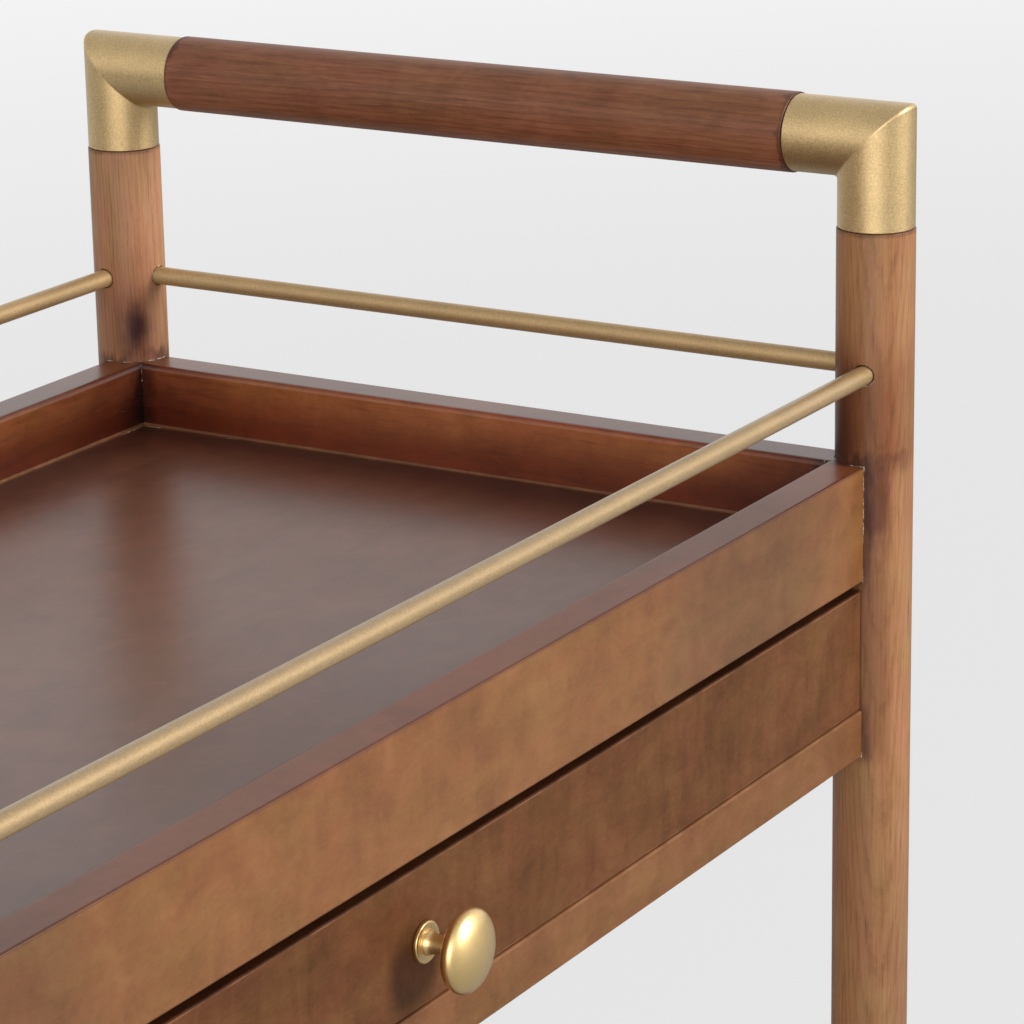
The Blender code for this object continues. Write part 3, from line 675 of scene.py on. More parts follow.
# Figures of the wood: how much each grain layer counts
GRAINED = {"rings": 0.26, "bands": 0.26, "lines": 0.40, "mottle": 0.25}
VENEERED = {"rings": 0.04, "bands": 0.10, "grit": 0.20, "mottle": 0.55, "curl": 0.20, "clouds": 0.30}
FIGURED = {"rings": 0.04, "bands": 0.10, "grit": 0.22, "mottle": 0.45, "curl": 0.30, "clouds": 0.40}
SMOOTH = {"bands": 0.20, "grit": 0.25, "mottle": 0.80, "clouds": 0.40}
CURLED = {"rings": 0.28, "bands": 0.25, "lines": 0.50, "mottle": 0.50}
PLAIN = {"rings": 0.25, "bands": 0.30, "lines": 0.35, "mottle": 0.35}

# Coats that each kind of piece has over its stain
KNOT_AXIS = POST_AXES["back_right"]
KNOT_PLACE = (KNOT_AXIS.x - 0.0116, KNOT_AXIS.y - 0.0110, RIM_Z + 0.0157)
POST_END = end_line(2, 0.0, ELBOW_FOOT_Z, 0.0010)
FRONT_POST_COATS = (post_stain_and_shade(0.95, 1.0), shaded_foot, POST_END)
BACK_POST_COATS = (
    post_stain_and_shade(0.50, 0.35),
    shaded_foot,
    knot(KNOT_PLACE, (0.0120, 0.0120, 0.0230), (0.55, 0.44, 0.55), 0.7),
    knot(KNOT_PLACE, (0.0080, 0.0080, 0.0165), (0.16, 0.09, 0.15), 0.97),
    POST_END,
)
HANDLE_COATS = (end_line(1, MIDDLE_Y, HALF_WIDTH - ELBOW_LEG, 0.005),)
BOARD_COATS = (red_inside, shaded_ends, corner_shade, dark_top, painted_shade_faces(*DOWN_LOOK), foot_stain)
LONG_COATS = (dim_inside,) + BOARD_COATS
RAIL_COATS = (red_inside, worn_edges)
DRAWER_COATS = (worn_edges, painted_shade_faces(*UP_LOOK))
PANEL_COATS = (shaded_panel,)

MATERIALS = {
    "post_front": wood("front_post_walnut", "z", ARCHED, POST_TONES, GRAINED, 0.42, 0.32, FRONT_POST_COATS),
    "post_back": wood("back_post_walnut", "z", STRAIGHT, PALE_TONES, GRAINED, 0.42, 0.32, BACK_POST_COATS),
    "handle": wood("handle_walnut", "y", SLOPED, HANDLE_TONES, CURLED, 0.44, 0.40, HANDLE_COATS),
    "apron": wood("apron_walnut", "x", LEVEL, BOARD_TONES, VENEERED, 0.36, 0.42, BOARD_COATS, 0.06),
    "board_x": wood("board_walnut_long", "x", LEVEL, BOARD_TONES, VENEERED, 0.28, 0.55, LONG_COATS, 0.045),
    "board_y": wood("board_walnut_short", "y", LEVEL, BOARD_TONES, VENEERED, 0.28, 0.55, BOARD_COATS, 0.045),
    "rail": wood("rail_walnut", "x", LEVEL, RAIL_TONES, VENEERED, 0.42, 0.20, RAIL_COATS, 0.08),
    "bead": wood("bead_walnut", "x", LEVEL, BEAD_TONES, FIGURED, 0.42, 0.30),
    "drawer": wood("drawer_walnut", "x", LEVEL, DRAWER_TONES, FIGURED, 0.48, 0.12, DRAWER_COATS, 0.08),
    "tray": wood("tray_walnut", "x", LEVEL, TRAY_TONES, SMOOTH, 0.30, 0.5, PANEL_COATS, 0.09, 0.15),
    "shelf_x": wood("shelf_rail_long", "x", LEVEL, BOARD_TONES, VENEERED, 0.55, 0.12, BOARD_COATS, 0.045),
    "shelf_y": wood("shelf_rail_short", "y", LEVEL, BOARD_TONES, VENEERED, 0.55, 0.12, BOARD_COATS, 0.045),
    "shelf": wood("shelf_walnut", "x", LEVEL, TRAY_TONES, SMOOTH, 0.60, 0.10, PANEL_COATS, 0.09),
    "birch_x": wood("birch_long", "x", LEVEL, BIRCH_TONES, PLAIN, 0.5, 0.3),
    "birch_y": wood("birch_short", "y", LEVEL, BIRCH_TONES, PLAIN, 0.5, 0.3),
    "gold": satin_gold("satin_gold", (0.61, 0.428, 0.196), 0.88, 0.46, 0.26, 0.85, 0.40),
    # Lit and shaded copies of one gold: the front rod's is painted darker where the key light falls
    # strongest, the other rods' lighter
    "rod_gold": satin_gold("rod_gold", (0.56, 0.375, 0.171), 0.55, 0.58, 0.22, 0.7, 0.35),
    "front_rod_painted_dim_gold": satin_gold("front_rod_painted_dim_gold", (0.41, 0.272, 0.122), 0.55, 0.58, 0.22, 1.0, 0.30),
    "knob_gold": satin_gold("knob_gold", (0.80, 0.56, 0.235), 1.0, 0.38, 0.04, 0.9, 0.24),
    "steel": plated_steel("plated_steel"),
    "rubber": tyre_rubber("tyre_rubber"),
    "glue": dried_glue("dried_glue"),
}


# Shapes

def quarter_turn(steps):
    """Angles from 0 up to a right angle."""
    return [math.radians(90 * step / steps) for step in range(steps + 1)]


def eased(points, radius):
    """A profile with its inner corners rounded, as far as the runs beside them allow."""
    points = [Vector(point) for point in points]
    made = [points[0]]
    for before, corner, after in zip(points, points[1:], points[2:]):
        back, ahead = before - corner, after - corner
        reach = min(radius, back.length * EASE_SHARE, ahead.length * EASE_SHARE)
        start = corner + back.normalized() * reach
        end = corner + ahead.normalized() * reach
        for step in range(EASE_STEPS + 1):
            share = step / EASE_STEPS
            made.append(start * (1 - share) ** 2 + corner * 2 * share * (1 - share) + end * share ** 2)
    made.append(points[-1])
    return made


def cylinder(radius, top, foot):
    """The profile of a plain cylinder between two heights."""
    return [(0, top), (radius, top), (radius, foot), (0, foot)]


def mirrored(upper):
    """The lower half of a turned profile that is the same above and below."""
    return [(radius, -height) for radius, height in reversed(upper)]


def meshed(name, shape):
    bmesh.ops.recalc_face_normals(shape, faces=shape.faces)
    mesh = bpy.data.meshes.new(name)
    shape.to_mesh(mesh)
    shape.free()
    return mesh


def bridge(shape, one, other, closed=True):
    """Faces between two lines of vertices, also from their ends to their starts where they are closed."""
    count = len(one)
    faces = []
    for index in range(count if closed else count - 1):
        following = (index + 1) % count
        faces.append(shape.faces.new((one[index], one[following], other[following], other[index])))
    return faces


def turned_mesh(name, profile, steps=TURN_STEPS, ring=False):
    """A profile of (radius, height) points turned about Z; a ring's profile closes on itself."""
    shape = bmesh.new()
    points = [shape.verts.new((radius, 0, height)) for radius, height in profile]
    pairs = list(zip(points, points[1:]))
    if ring:
        pairs.append((points[-1], points[0]))
    line = points + [shape.edges.new(pair) for pair in pairs]
    full = {"axis": (0, 0, 1), "cent": (0, 0, 0), "angle": 2 * math.pi, "use_merge": True}
    bmesh.ops.spin(shape, geom=line, steps=steps, **full)
    bmesh.ops.remove_doubles(shape, verts=shape.verts, dist=MERGE_DISTANCE)
    return meshed(name, shape)


def box_shape(low, high):
    shape = bmesh.new()
    bmesh.ops.create_cube(shape, size=1.0)
    for vertex in shape.verts:
        for axis in range(3):
            vertex.co[axis] = low[axis] if vertex.co[axis] < 0 else high[axis]
    return shape


def eased_box_mesh(name, low, high, ease):
    """A box with rounded edges, which are marked as eased."""
    shape = box_shape(low, high)
    mark = shape.faces.layers.float.new("eased")
    rounding = {"segments": EASE_STEPS, "profile": 0.5, "affect": "EDGES"}
    made = bmesh.ops.bevel(shape, geom=shape.edges[:], offset=ease, **rounding)
    for face in made["faces"]:
        face[mark] = 1.0
    return meshed(name, shape)


def add_object(name, data):
    thing = bpy.data.objects.new(name, data)
    bpy.context.scene.collection.objects.link(thing)
    return thing


def add_ease(thing, width):
    """Rounds a thing's sharp edges with a modifier."""
    bevel = thing.modifiers.new("ease", "BEVEL")
    bevel.width = width
    bevel.segments = 2
    bevel.limit_method = "ANGLE"


def add_piece(name, mesh, material, body, node=None, ease=0.0):
    """A piece with smooth shading that rides on a body and may stand for a CAD node."""
    piece = add_object(name, mesh)
    mesh.materials.clear()
    mesh.materials.append(MATERIALS[material])
    mesh.shade_smooth()
    mesh.set_sharp_from_angle(angle=SHARP_ANGLE)
    if ease:
        add_ease(piece, ease)
    normals = piece.modifiers.new("even_normals", "WEIGHTED_NORMAL")
    normals.keep_sharp = True
    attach(piece, body)
    if node:
        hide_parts(node)


def cut_mesh(mesh, cutters):
    """The mesh with cutter meshes taken out of it."""
    target = add_object("cut_target", mesh)
    tools = [add_object("cut_tool", cutter) for cutter in cutters]
    for tool in tools:
        boolean = target.modifiers.new("cut", "BOOLEAN")
        boolean.operation = "DIFFERENCE"
        boolean.object = tool
    bpy.context.view_layer.update()
    result = bpy.data.meshes.new_from_object(target.evaluated_get(bpy.context.evaluated_depsgraph_get()))
    for thing in (target, *tools):
        bpy.data.objects.remove(thing, do_unlink=True)
    return result


# Posts, handles, elbows and rods

def along_side(side, place):
    """Turns local Z to run along a side, at a place in the side's own frame."""
    return side_matrix(side) @ Matrix.Translation(place) @ turned_by(90, "Y")


def rod_place(side):
    """Where a gallery rod's middle lies in its side's own frame."""
    return side_matrix(side).inverted() @ middle(f"gallery_rod_{side}")


def rod_end(side):
    """How far from the middle of a side its rod's bored holes reach."""
    return side_half(side) - POST_RADIUS + ROD_HOLE_DEPTH


def rod_cutter(side):
    """The bored holes for a gallery rod, a little wider than the rod."""
    profile = cylinder(ROD_RADIUS + ROD_HOLE_GAP, rod_end(side), -rod_end(side))
    mesh = turned_mesh("rod_bore", profile, SMALL_TURN_STEPS)
    mesh.transform(along_side(side, rod_place(side)))
    return mesh


def make_posts():
    bores = {side: rod_cutter(side) for side in SIDE_TURNS}
    for corner in CORNERS:
        node = f"post_{corner}"
        profile = cylinder(POST_RADIUS, ELBOW_FOOT_Z - SEAM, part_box(node)[0].z)
        mesh = turned_mesh(node, eased(profile, WOOD_EASE))
        mesh.transform(post_place(corner))
        mesh = cut_mesh(mesh, [bores[side] for side in SIDE_TURNS if corner in side_corners(side)])
        material = "post_front" if corner.startswith("front") else "post_back"
        add_piece(f"{node}_wood", mesh, material, "frame", node)


def make_handles():
    end = HALF_WIDTH - ELBOW_LEG - SEAM
    for side in ("left", "right"):
        node = f"handle_{side}"
        mesh = turned_mesh(node, eased(cylinder(HANDLE_RADIUS, end, -end), WOOD_EASE))
        mesh.transform(along_side(side, (0, 0, HANDLE_Z)))
        add_piece(f"{node}_wood", mesh, "handle", "frame", node)


def elbow_line(turn):
    """The elbow's surface along one line: from one leg's end, round the mitre and out along the other."""
    inwards = ELBOW_RADIUS * math.cos(turn)
    sideways = ELBOW_RADIUS * math.sin(turn)
    lip = 1 - ELBOW_LIP / ELBOW_RADIUS
    rounding = ELBOW_MITRE_ROUND + ELBOW_CORNER_ROUND * math.cos(turn) ** 4
    line = [
        (inwards * lip, sideways * lip, -ELBOW_LEG),
        (inwards, sideways, -ELBOW_LEG + ELBOW_LIP),
    ]
    for bend in quarter_turn(ELBOW_ARC_STEPS):
        across = rounding * (1 - math.sin(bend))
        down = rounding * (1 - math.cos(bend))
        line.append((inwards + down, sideways, -inwards - across))
    line.append((ELBOW_LEG - ELBOW_LIP, sideways, -inwards))
    line.append((ELBOW_LEG, sideways * lip, -inwards * lip))
    return line


def elbow_mesh(name):
    """A mitred round bend with its legs towards -Z and +X, closed at both ends."""
    shape = bmesh.new()
    lines = []
    for step in range(TURN_STEPS):
        turn = 2 * math.pi * step / TURN_STEPS
        lines.append([shape.verts.new(point) for point in elbow_line(turn)])
    for one, other in zip(lines, lines[1:] + lines[:1]):
        bridge(shape, one, other, closed=False)
    for end in (0, -1):
        shape.faces.new([line[end] for line in lines])
    return meshed(name, shape)


def make_elbows():
    for corner in CORNERS:
        node = f"elbow_{corner}"
        mesh = elbow_mesh(node)
        inwards = 90 if corner.startswith("front") else -90
        mesh.transform(post_place(corner, HANDLE_Z) @ turned_by(inwards, "Z"))
        add_piece(f"{node}_metal", mesh, "gold", "frame", node)


def make_rods():
    for side in SIDE_TURNS:
        node = f"gallery_rod_{side}"
        end = rod_end(side) - SEAM
        profile = eased(cylinder(ROD_RADIUS, end, -end), WOOD_EASE)
        mesh = turned_mesh(node, profile, SMALL_TURN_STEPS)
        mesh.transform(along_side(side, rod_place(side)))
        # The front rod takes the gold that is painted darker for the stronger key light
        material = "front_rod_painted_dim_gold" if side == "front" else "rod_gold"
        add_piece(f"{node}_metal", mesh, material, "frame", node)


# Boards and panels: a board is its node, its side and its material
TRAY_BOARDS = (
    ("apron_front", "front", "apron"),
    ("front_rail", "front", "rail"),
    ("case_board_back", "back", "board_x"),
    ("case_board_left", "left", "board_y"),
    ("case_board_right", "right", "board_y"),
)
SHELF_BOARDS = (
    ("shelf_rail_front", "front", "shelf_x"),
    ("shelf_rail_right", "right", "shelf_y"),
    ("shelf_rail_back", "back", "shelf_x"),
    ("shelf_rail_left", "left", "shelf_y"),
)


def ease_arc(radius):
    """A rounded edge from the face to the flat: (place across, drop below the flat)."""
    turns = quarter_turn(EASE_STEPS)
    return [(radius * (1 - math.cos(turn)), radius * (1 - math.sin(turn))) for turn in turns]


def board_rows():
    """Across a board from its outer to its inner face: (place across, drop below the flat)."""
    rows = [(-BOARD_OUTSET + across, drop) for across, drop in ease_arc(BOARD_EASE)]
    flat = BOARD_THICKNESS - BOARD_EASE - BOARD_INNER_EASE
    for step in range(1, BOARD_FLAT_STEPS):
        rows.append((-BOARD_OUTSET + BOARD_EASE + flat * step / BOARD_FLAT_STEPS, 0))
    rows += [(BOARD_INSET - across, drop) for across, drop in reversed(ease_arc(BOARD_INNER_EASE))]
    return rows


def board_reach(across, half):
    """How far a board runs: to the post that it is coped round, or to its mitre past the post."""
    cope = POST_RADIUS + SEAM
    return min(half - across - SEAM, half - math.sqrt(cope ** 2 - across ** 2))


def board_mesh(name, side, bottom, top):
    """A board in lines round it from its outer to its inner face; its long edges are marked as eased."""
    shape = bmesh.new()
    mark = shape.faces.layers.float.new("eased")
    rows = board_rows()
    lines = []
    for across, drop in rows:
        reach = board_reach(across, side_half(side))
        upper, lower = top - drop, bottom + drop
        corners = ((-reach, upper), (reach, upper), (reach, lower), (-reach, lower))
        lines.append([shape.verts.new((along, across, height)) for along, height in corners])
    for one, other, row, next_row in zip(lines, lines[1:], rows, rows[1:]):
        above, _, below, _ = bridge(shape, one, other)
        if row[1] + next_row[1] > 0:
            above[mark] = 1.0
            below[mark] = 1.0
    shape.faces.new(lines[0])
    shape.faces.new(lines[-1])
    mesh = meshed(name, shape)
    mesh.transform(side_matrix(side))
    return mesh


def make_boards(boards):
    for node, side, material in boards:
        low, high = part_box(node)
        mesh = board_mesh(node, side, low.z, high.z)
        add_piece(f"{node}_wood", mesh, material, "frame", node)


def make_panel(node, material, top):
    """A panel between the boards' inner faces."""
    x = HALF_LENGTH - BOARD_INSET - SEAM
    y = HALF_WIDTH - BOARD_INSET - SEAM
    mesh = eased_box_mesh(node, (-x, MIDDLE_Y - y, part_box(node)[0].z), (x, MIDDLE_Y + y, top), PANEL_EASE)
    add_piece(f"{node}_wood", mesh, material, "frame", node)


def make_bead(name, floor_z):
    """A fine cove of lacquer all round a panel, where it meets the boards."""
    shape = bmesh.new()
    arc = [(0.0, 0.0)]
    for turn in quarter_turn(EASE_STEPS):
        arc.append((TRAY_BEAD * (1 - math.sin(turn)), TRAY_BEAD * (1 - math.cos(turn))))
    loops = []
    for along, across in SQUARE:
        loop = []
        for inset, rise in arc:
            x = along * (HALF_LENGTH - BOARD_INSET - inset)
            y = MIDDLE_Y + across * (HALF_WIDTH - BOARD_INSET - inset)
            loop.append(shape.verts.new((x, y, floor_z + rise)))
        loops.append(loop)
    for one, other in zip(loops, loops[1:] + loops[:1]):
        bridge(shape, one, other)
    add_piece(name, meshed(name, shape), "bead", "frame")


def make_tray():
    make_boards(TRAY_BOARDS)
    make_panel("tray_floor", "tray", TRAY_Z)
    make_bead("tray_bead", TRAY_Z)


def make_shelf():
    make_boards(SHELF_BOARDS)
    make_panel("shelf_panel", "shelf", SHELF_Z)
    make_bead("shelf_bead", SHELF_Z)


# Glue in the joints
GLUE_SEED = 11
GLUE_STEP = 0.0012
GLUE_WIDTH = 0.00028
GLUE_WIDTH_SHARES = (0.4, 1.0)
GLUE_LENGTH_SHARES = (0.6, 1.1)
GLUE_WANDER = 0.00014
GLUE_CHANGE = 0.18
GLUE_FLOOR_RUN = 0.060
GLUE_RING_STEPS = 18
BOARD_GLUE = 0.55
FLOOR_GLUE = 0.12
ROD_GLUE = 0.25


def spaced(one, other):
    """Points along a straight line, a glue step apart."""
    one, other = Vector(one), Vector(other)
    count = max(2, round((other - one).length / GLUE_STEP))
    return [one.lerp(other, step / count) for step in range(count + 1)]


def add_smear(shape, chance, one, other):
    """A squashed ball of glue, drawn out between two points."""
    along = other - one
    wander = Vector([chance.uniform(-GLUE_WANDER, GLUE_WANDER) for _ in range(3)])
    width = GLUE_WIDTH * chance.uniform(*GLUE_WIDTH_SHARES)
    stretch = Matrix.Diagonal((width, width, along.length * chance.uniform(*GLUE_LENGTH_SHARES), 1))
    turn = along.to_track_quat("Z", "Y").to_matrix().to_4x4()
    place = Matrix.Translation((one + other) / 2 + wander)
    bmesh.ops.create_icosphere(shape, subdivisions=1, radius=1.0, matrix=place @ turn @ stretch)


def add_glue(shape, chance, lines, share):
    """Broken smears along lines of points; share is the part of a line that has glue."""
    for points in lines:
        laid = chance.random() < share
        for one, other in zip(points, points[1:]):
            if chance.random() < GLUE_CHANGE:
                laid = chance.random() < share
            if laid:
                add_smear(shape, chance, one, other)


def board_glue_lines(node, side):
    """The seams of a board's two ends: up its outer face, and round the post on its top."""
    low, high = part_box(node)
    half = side_half(side)
    lines = []
    for end in (-1, 1):
        face = end * board_reach(-BOARD_OUTSET, half)
        lines.append(spaced((face, -BOARD_OUTSET, low.z), (face, -BOARD_OUTSET, high.z)))
        mitre = POST_RADIUS * math.sqrt(0.5)
        arc = spaced((0, -BOARD_OUTSET, high.z), (0, mitre, high.z))
        lines.append([Vector((end * board_reach(point.y, half), point.y, high.z)) for point in arc])
    return [[side_matrix(side) @ point for point in line] for line in lines]


def inner_corners(inset):
    """The boards' inner corners, drawn in by an inset: x, y and the side of the middle that each is on."""
    for axis in POST_AXES.values():
        end = math.copysign(1, axis.x)
        face = math.copysign(1, axis.y - MIDDLE_Y)
        x = end * (HALF_LENGTH - BOARD_INSET - inset)
        yield x, MIDDLE_Y + face * (HALF_WIDTH - BOARD_INSET - inset), end, face


def corner_glue_lines(floor_z, rim_z):
    """The mitres of the boards in the four inner corners."""
    return [spaced((x, y, floor_z), (x, y, rim_z)) for x, y, _, _ in inner_corners(0.0)]


def floor_glue_lines(floor_z):
    """A little way along the boards from each inner corner, on the panel."""
    lines = []
    for x, y, end, face in inner_corners(TRAY_BEAD):
        lines.append(spaced((x, y, floor_z), (x - end * GLUE_FLOOR_RUN, y, floor_z)))
        lines.append(spaced((x, y, floor_z), (x, y - face * GLUE_FLOOR_RUN, floor_z)))
    return lines


def rod_glue_lines(side):
    """Rings round a gallery rod where it enters the posts."""
    place = rod_place(side)
    radius = ROD_RADIUS + ROD_HOLE_GAP
    lines = []
    for end in (-1, 1):
        ring = []
        for step in range(GLUE_RING_STEPS + 1):
            turn = 2 * math.pi * step / GLUE_RING_STEPS
            across = place.y + radius * math.cos(turn)
            along = side_half(side) - math.sqrt(POST_RADIUS ** 2 - across ** 2)
            ring.append(Vector((end * along, across, place.z + radius * math.sin(turn))))
        lines.append([side_matrix(side) @ point for point in ring])
    return lines


def make_glue():
    chance = random.Random(GLUE_SEED)
    for name, boards, floor_z, rim_z in (
        ("tray_glue", TRAY_BOARDS, TRAY_Z, RIM_Z),
        ("shelf_glue", SHELF_BOARDS, SHELF_Z, SHELF_RIM_Z),
    ):
        shape = bmesh.new()
        for node, side, _ in boards:
            add_glue(shape, chance, board_glue_lines(node, side), BOARD_GLUE)
        add_glue(shape, chance, corner_glue_lines(floor_z, rim_z), BOARD_GLUE)
        add_glue(shape, chance, floor_glue_lines(floor_z), FLOOR_GLUE)
        add_piece(name, meshed(name, shape), "glue", "frame")
    shape = bmesh.new()
    for side in SIDE_TURNS:
        add_glue(shape, chance, rod_glue_lines(side), ROD_GLUE)
    add_piece("rod_glue", meshed("rod_glue", shape), "glue", "frame")


# Drawer
KNOB_DOME = 0.0058
KNOB_UNDERSIDE = 0.0058
KNOB_NECK_RADIUS = 0.0035
KNOB_NECK_FLARE = 0.0010
KNOB_FLARE_POWER = 8
KNOB_BASE_RADIUS = 0.0075
KNOB_BASE_DEPTH = 0.0014
KNOB_BASE_SLOPE = 0.0010
KNOB_LIP = 0.0009
KNOB_ARC_STEPS = 20
SCREW_RADIUS = 0.0020
SCREW_HEAD_DEPTH = 0.0025
SCREW_EASE = 0.001
SCREW_SLOT = (0.0022, 0.0005, 0.0012)


def knob_profile():
    """A flattened round head, a neck that widens to the base, and a thin base disc with a round lip."""
    low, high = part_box("drawer_knob")
    head = (high.x - low.x) / 2
    widest = high.y - low.y - KNOB_DOME
    turns = quarter_turn(KNOB_ARC_STEPS)
    profile = [(head * math.sin(turn), widest + KNOB_DOME * math.cos(turn)) for turn in turns]
    for turn in turns[1:]:
        radius = KNOB_NECK_RADIUS + (head - KNOB_NECK_RADIUS) * math.cos(turn)
        profile.append((radius, widest - KNOB_UNDERSIDE * math.sin(turn)))
    neck_top = profile[-1][1]
    neck_foot = KNOB_BASE_DEPTH + KNOB_BASE_SLOPE
    for step in range(1, KNOB_ARC_STEPS + 1):
        share = step / KNOB_ARC_STEPS
        radius = KNOB_NECK_RADIUS + KNOB_NECK_FLARE * share ** KNOB_FLARE_POWER
        profile.append((radius, neck_top + (neck_foot - neck_top) * share))
    foot = [
        (KNOB_NECK_RADIUS + KNOB_NECK_FLARE, KNOB_BASE_DEPTH - KNOB_LIP / 3),
        (KNOB_BASE_RADIUS - KNOB_LIP, KNOB_BASE_DEPTH + KNOB_LIP / 3),
        (KNOB_BASE_RADIUS, KNOB_BASE_DEPTH),
        (KNOB_BASE_RADIUS, 0),
        (0, 0),
    ]
    return profile[:-1] + eased([profile[-1]] + foot, KNOB_LIP / 2)


def facing_out(node):
    """Turns local Z to point out of the drawer's face, from the inner end of a node."""
    place = middle(node)
    place.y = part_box(node)[1].y
    return Matrix.Translation(place) @ turned_by(90, "X")


def make_knob():
    mesh = turned_mesh("drawer_knob", knob_profile())
    mesh.transform(facing_out("drawer_knob"))
    add_piece("drawer_knob_metal", mesh, "knob_gold", "drawer", "drawer_knob")


def make_screw():
    """The screw that holds the knob, with a crossed slot in its head."""
    head = size("knob_screw").x / 2
    shank = cylinder(SCREW_RADIUS, size("knob_screw").y, SCREW_HEAD_DEPTH)
    profile = shank[:-1] + cylinder(head, SCREW_HEAD_DEPTH, 0)[1:]
    mesh = turned_mesh("knob_screw", eased(profile, SCREW_EASE), SMALL_TURN_STEPS)
    long, wide, deep = SCREW_SLOT
    slots = []
    for half in ((long, wide, deep), (wide, long, deep)):
        slots.append(eased_box_mesh("slot", [-value for value in half], half, wide / 3))
    mesh = cut_mesh(mesh, slots)
    mesh.transform(facing_out("knob_screw"))
    add_piece("knob_screw_metal", mesh, "steel", "drawer", "knob_screw")


def dress(node, material):
    """A CAD node that keeps its shape, with a procedural finish and slightly rounded edges."""
    thing = frame["nodes"][node]
    for place in thing.material_slots:
        place.material = MATERIALS[material]
    weld = thing.modifiers.new("weld", "WELD")
    weld.merge_threshold = WELD_DISTANCE
    add_ease(thing, WOOD_EASE)


def make_drawer():
    mesh = eased_box_mesh("drawer_front", *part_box("drawer_front"), DRAWER_EASE)
    add_piece("drawer_front_wood", mesh, "drawer", "drawer", "drawer_front")
    for side in ("left", "right"):
        dress(f"drawer_side_{side}", "birch_y")
        dress(f"drawer_runner_{side}", "birch_y")
    dress("drawer_back", "birch_x")
    dress("drawer_bottom", "birch_x")
    make_knob()
    make_screw()


# Castors
CASTOR_TRAIL = 0.020
FORK_SHEET = 0.0025
FORK_CROWN_HALF = 0.014
FORK_CHEEK_DROP = 0.012
FORK_FOOT_RADIUS = 0.008
FOOT_ARC_START = 20
FOOT_ARC_SWEEP = 220
FOOT_ARC_STEPS = 32
METAL_EASE = 0.0005
SOCKET_GROOVE = (0.86, 0.84, 0.80, 0.78)
TYRE_DEPTH = 0.006
TREAD_GROOVE = 0.0008
TREAD_SHOULDER = 0.0032
TREAD_GROOVE_EDGES = (0.0032, 0.0028, 0.0020, 0.0016)
TREAD_EASE = 0.0024
HUB_BOSS_RADIUS = 0.007
HUB_BOSS_END_RADIUS = 0.0063
HUB_RIM_DEPTH = 0.004
HUB_WEB_HALF = 0.003
AXLE_RADIUS = 0.003
AXLE_HEAD_RADIUS = 0.005
AXLE_END_RADIUS = 0.003
AXLE_HEAD_DEPTH = 0.002
STEM_NECK_RADIUS = 0.004
STEM_COLLAR_RADIUS = 0.010
STEM_COLLAR_DEPTH = 0.003
STEM_RIVET_RADIUS = 0.007
STEM_RIVET_DEPTH = 0.003
TURNING_GAP = 0.0003


def fork_outline():
    """A fork cheek seen from the side: (along the trail, height), down to a round foot at the axle."""
    points = [
        (-FORK_CROWN_HALF, CROWN_TOP - FORK_CHEEK_DROP),
        (-FORK_CROWN_HALF, CROWN_TOP),
        (FORK_CROWN_HALF, CROWN_TOP),
    ]
    for step in range(FOOT_ARC_STEPS + 1):
        turn = math.radians(FOOT_ARC_START - FOOT_ARC_SWEEP * step / FOOT_ARC_STEPS)
        along = CASTOR_TRAIL + FORK_FOOT_RADIUS * math.cos(turn)
        points.append((along, WHEEL_RADIUS + FORK_FOOT_RADIUS * math.sin(turn)))
    return points


def fork_mesh():
    """The cheek outline as thick as the fork, hollowed for the wheel and bored for the stem's neck."""
    shape = bmesh.new()
    near, far = (
        [shape.verts.new((along, face, height)) for along, height in fork_outline()]
        for face in (-FORK_HALF, FORK_HALF)
    )
    shape.faces.new(near)
    shape.faces.new(far)
    bridge(shape, near, far)
    inner = FORK_HALF - FORK_SHEET
    reach = 2 * WHEEL_RADIUS
    hollow = box_shape((-reach, -inner, -reach), (reach, inner, CROWN_TOP - FORK_SHEET))
    bore = turned_mesh("neck_bore", cylinder(STEM_NECK_RADIUS + TURNING_GAP, reach, 0), SMALL_TURN_STEPS)
    return cut_mesh(meshed("fork", shape), [meshed("wheel_hollow", hollow), bore])


def stem_profile():
    """A collar over the fork's crown, a neck through it and a rivet head under it."""
    collar_foot = CROWN_TOP + TURNING_GAP
    rivet_top = CROWN_TOP - FORK_SHEET - TURNING_GAP
    collar = cylinder(STEM_COLLAR_RADIUS, collar_foot + STEM_COLLAR_DEPTH, collar_foot)
    neck = cylinder(STEM_NECK_RADIUS, collar_foot, rivet_top)
    rivet = cylinder(STEM_RIVET_RADIUS, rivet_top, rivet_top - STEM_RIVET_DEPTH)
    return eased(collar[:-1] + neck[1:-1] + rivet[1:], 2 * METAL_EASE)


def socket_profile(corner):
    """The flange of the socket under the post, with a shallow turned groove."""
    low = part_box(f"castor_socket_{corner}")[0].z
    radius = size(f"castor_socket_{corner}").x / 2
    flange = cylinder(radius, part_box(f"post_{corner}")[0].z - SEAM, low)
    depths = (low, low + METAL_EASE, low + METAL_EASE, low)
    groove = [(radius * share, depth) for share, depth in zip(SOCKET_GROOVE, depths)]
    return eased(flange[:-1] + groove + flange[-1:], METAL_EASE)


def axle_profile():
    neck = FORK_HALF + TURNING_GAP
    end = neck + AXLE_HEAD_DEPTH
    upper = [
        (0, end),
        (AXLE_END_RADIUS, end),
        (AXLE_HEAD_RADIUS, neck + AXLE_HEAD_DEPTH / 2),
        (AXLE_HEAD_RADIUS, neck),
        (AXLE_RADIUS, neck),
    ]
    return eased(upper + mirrored(upper), METAL_EASE)


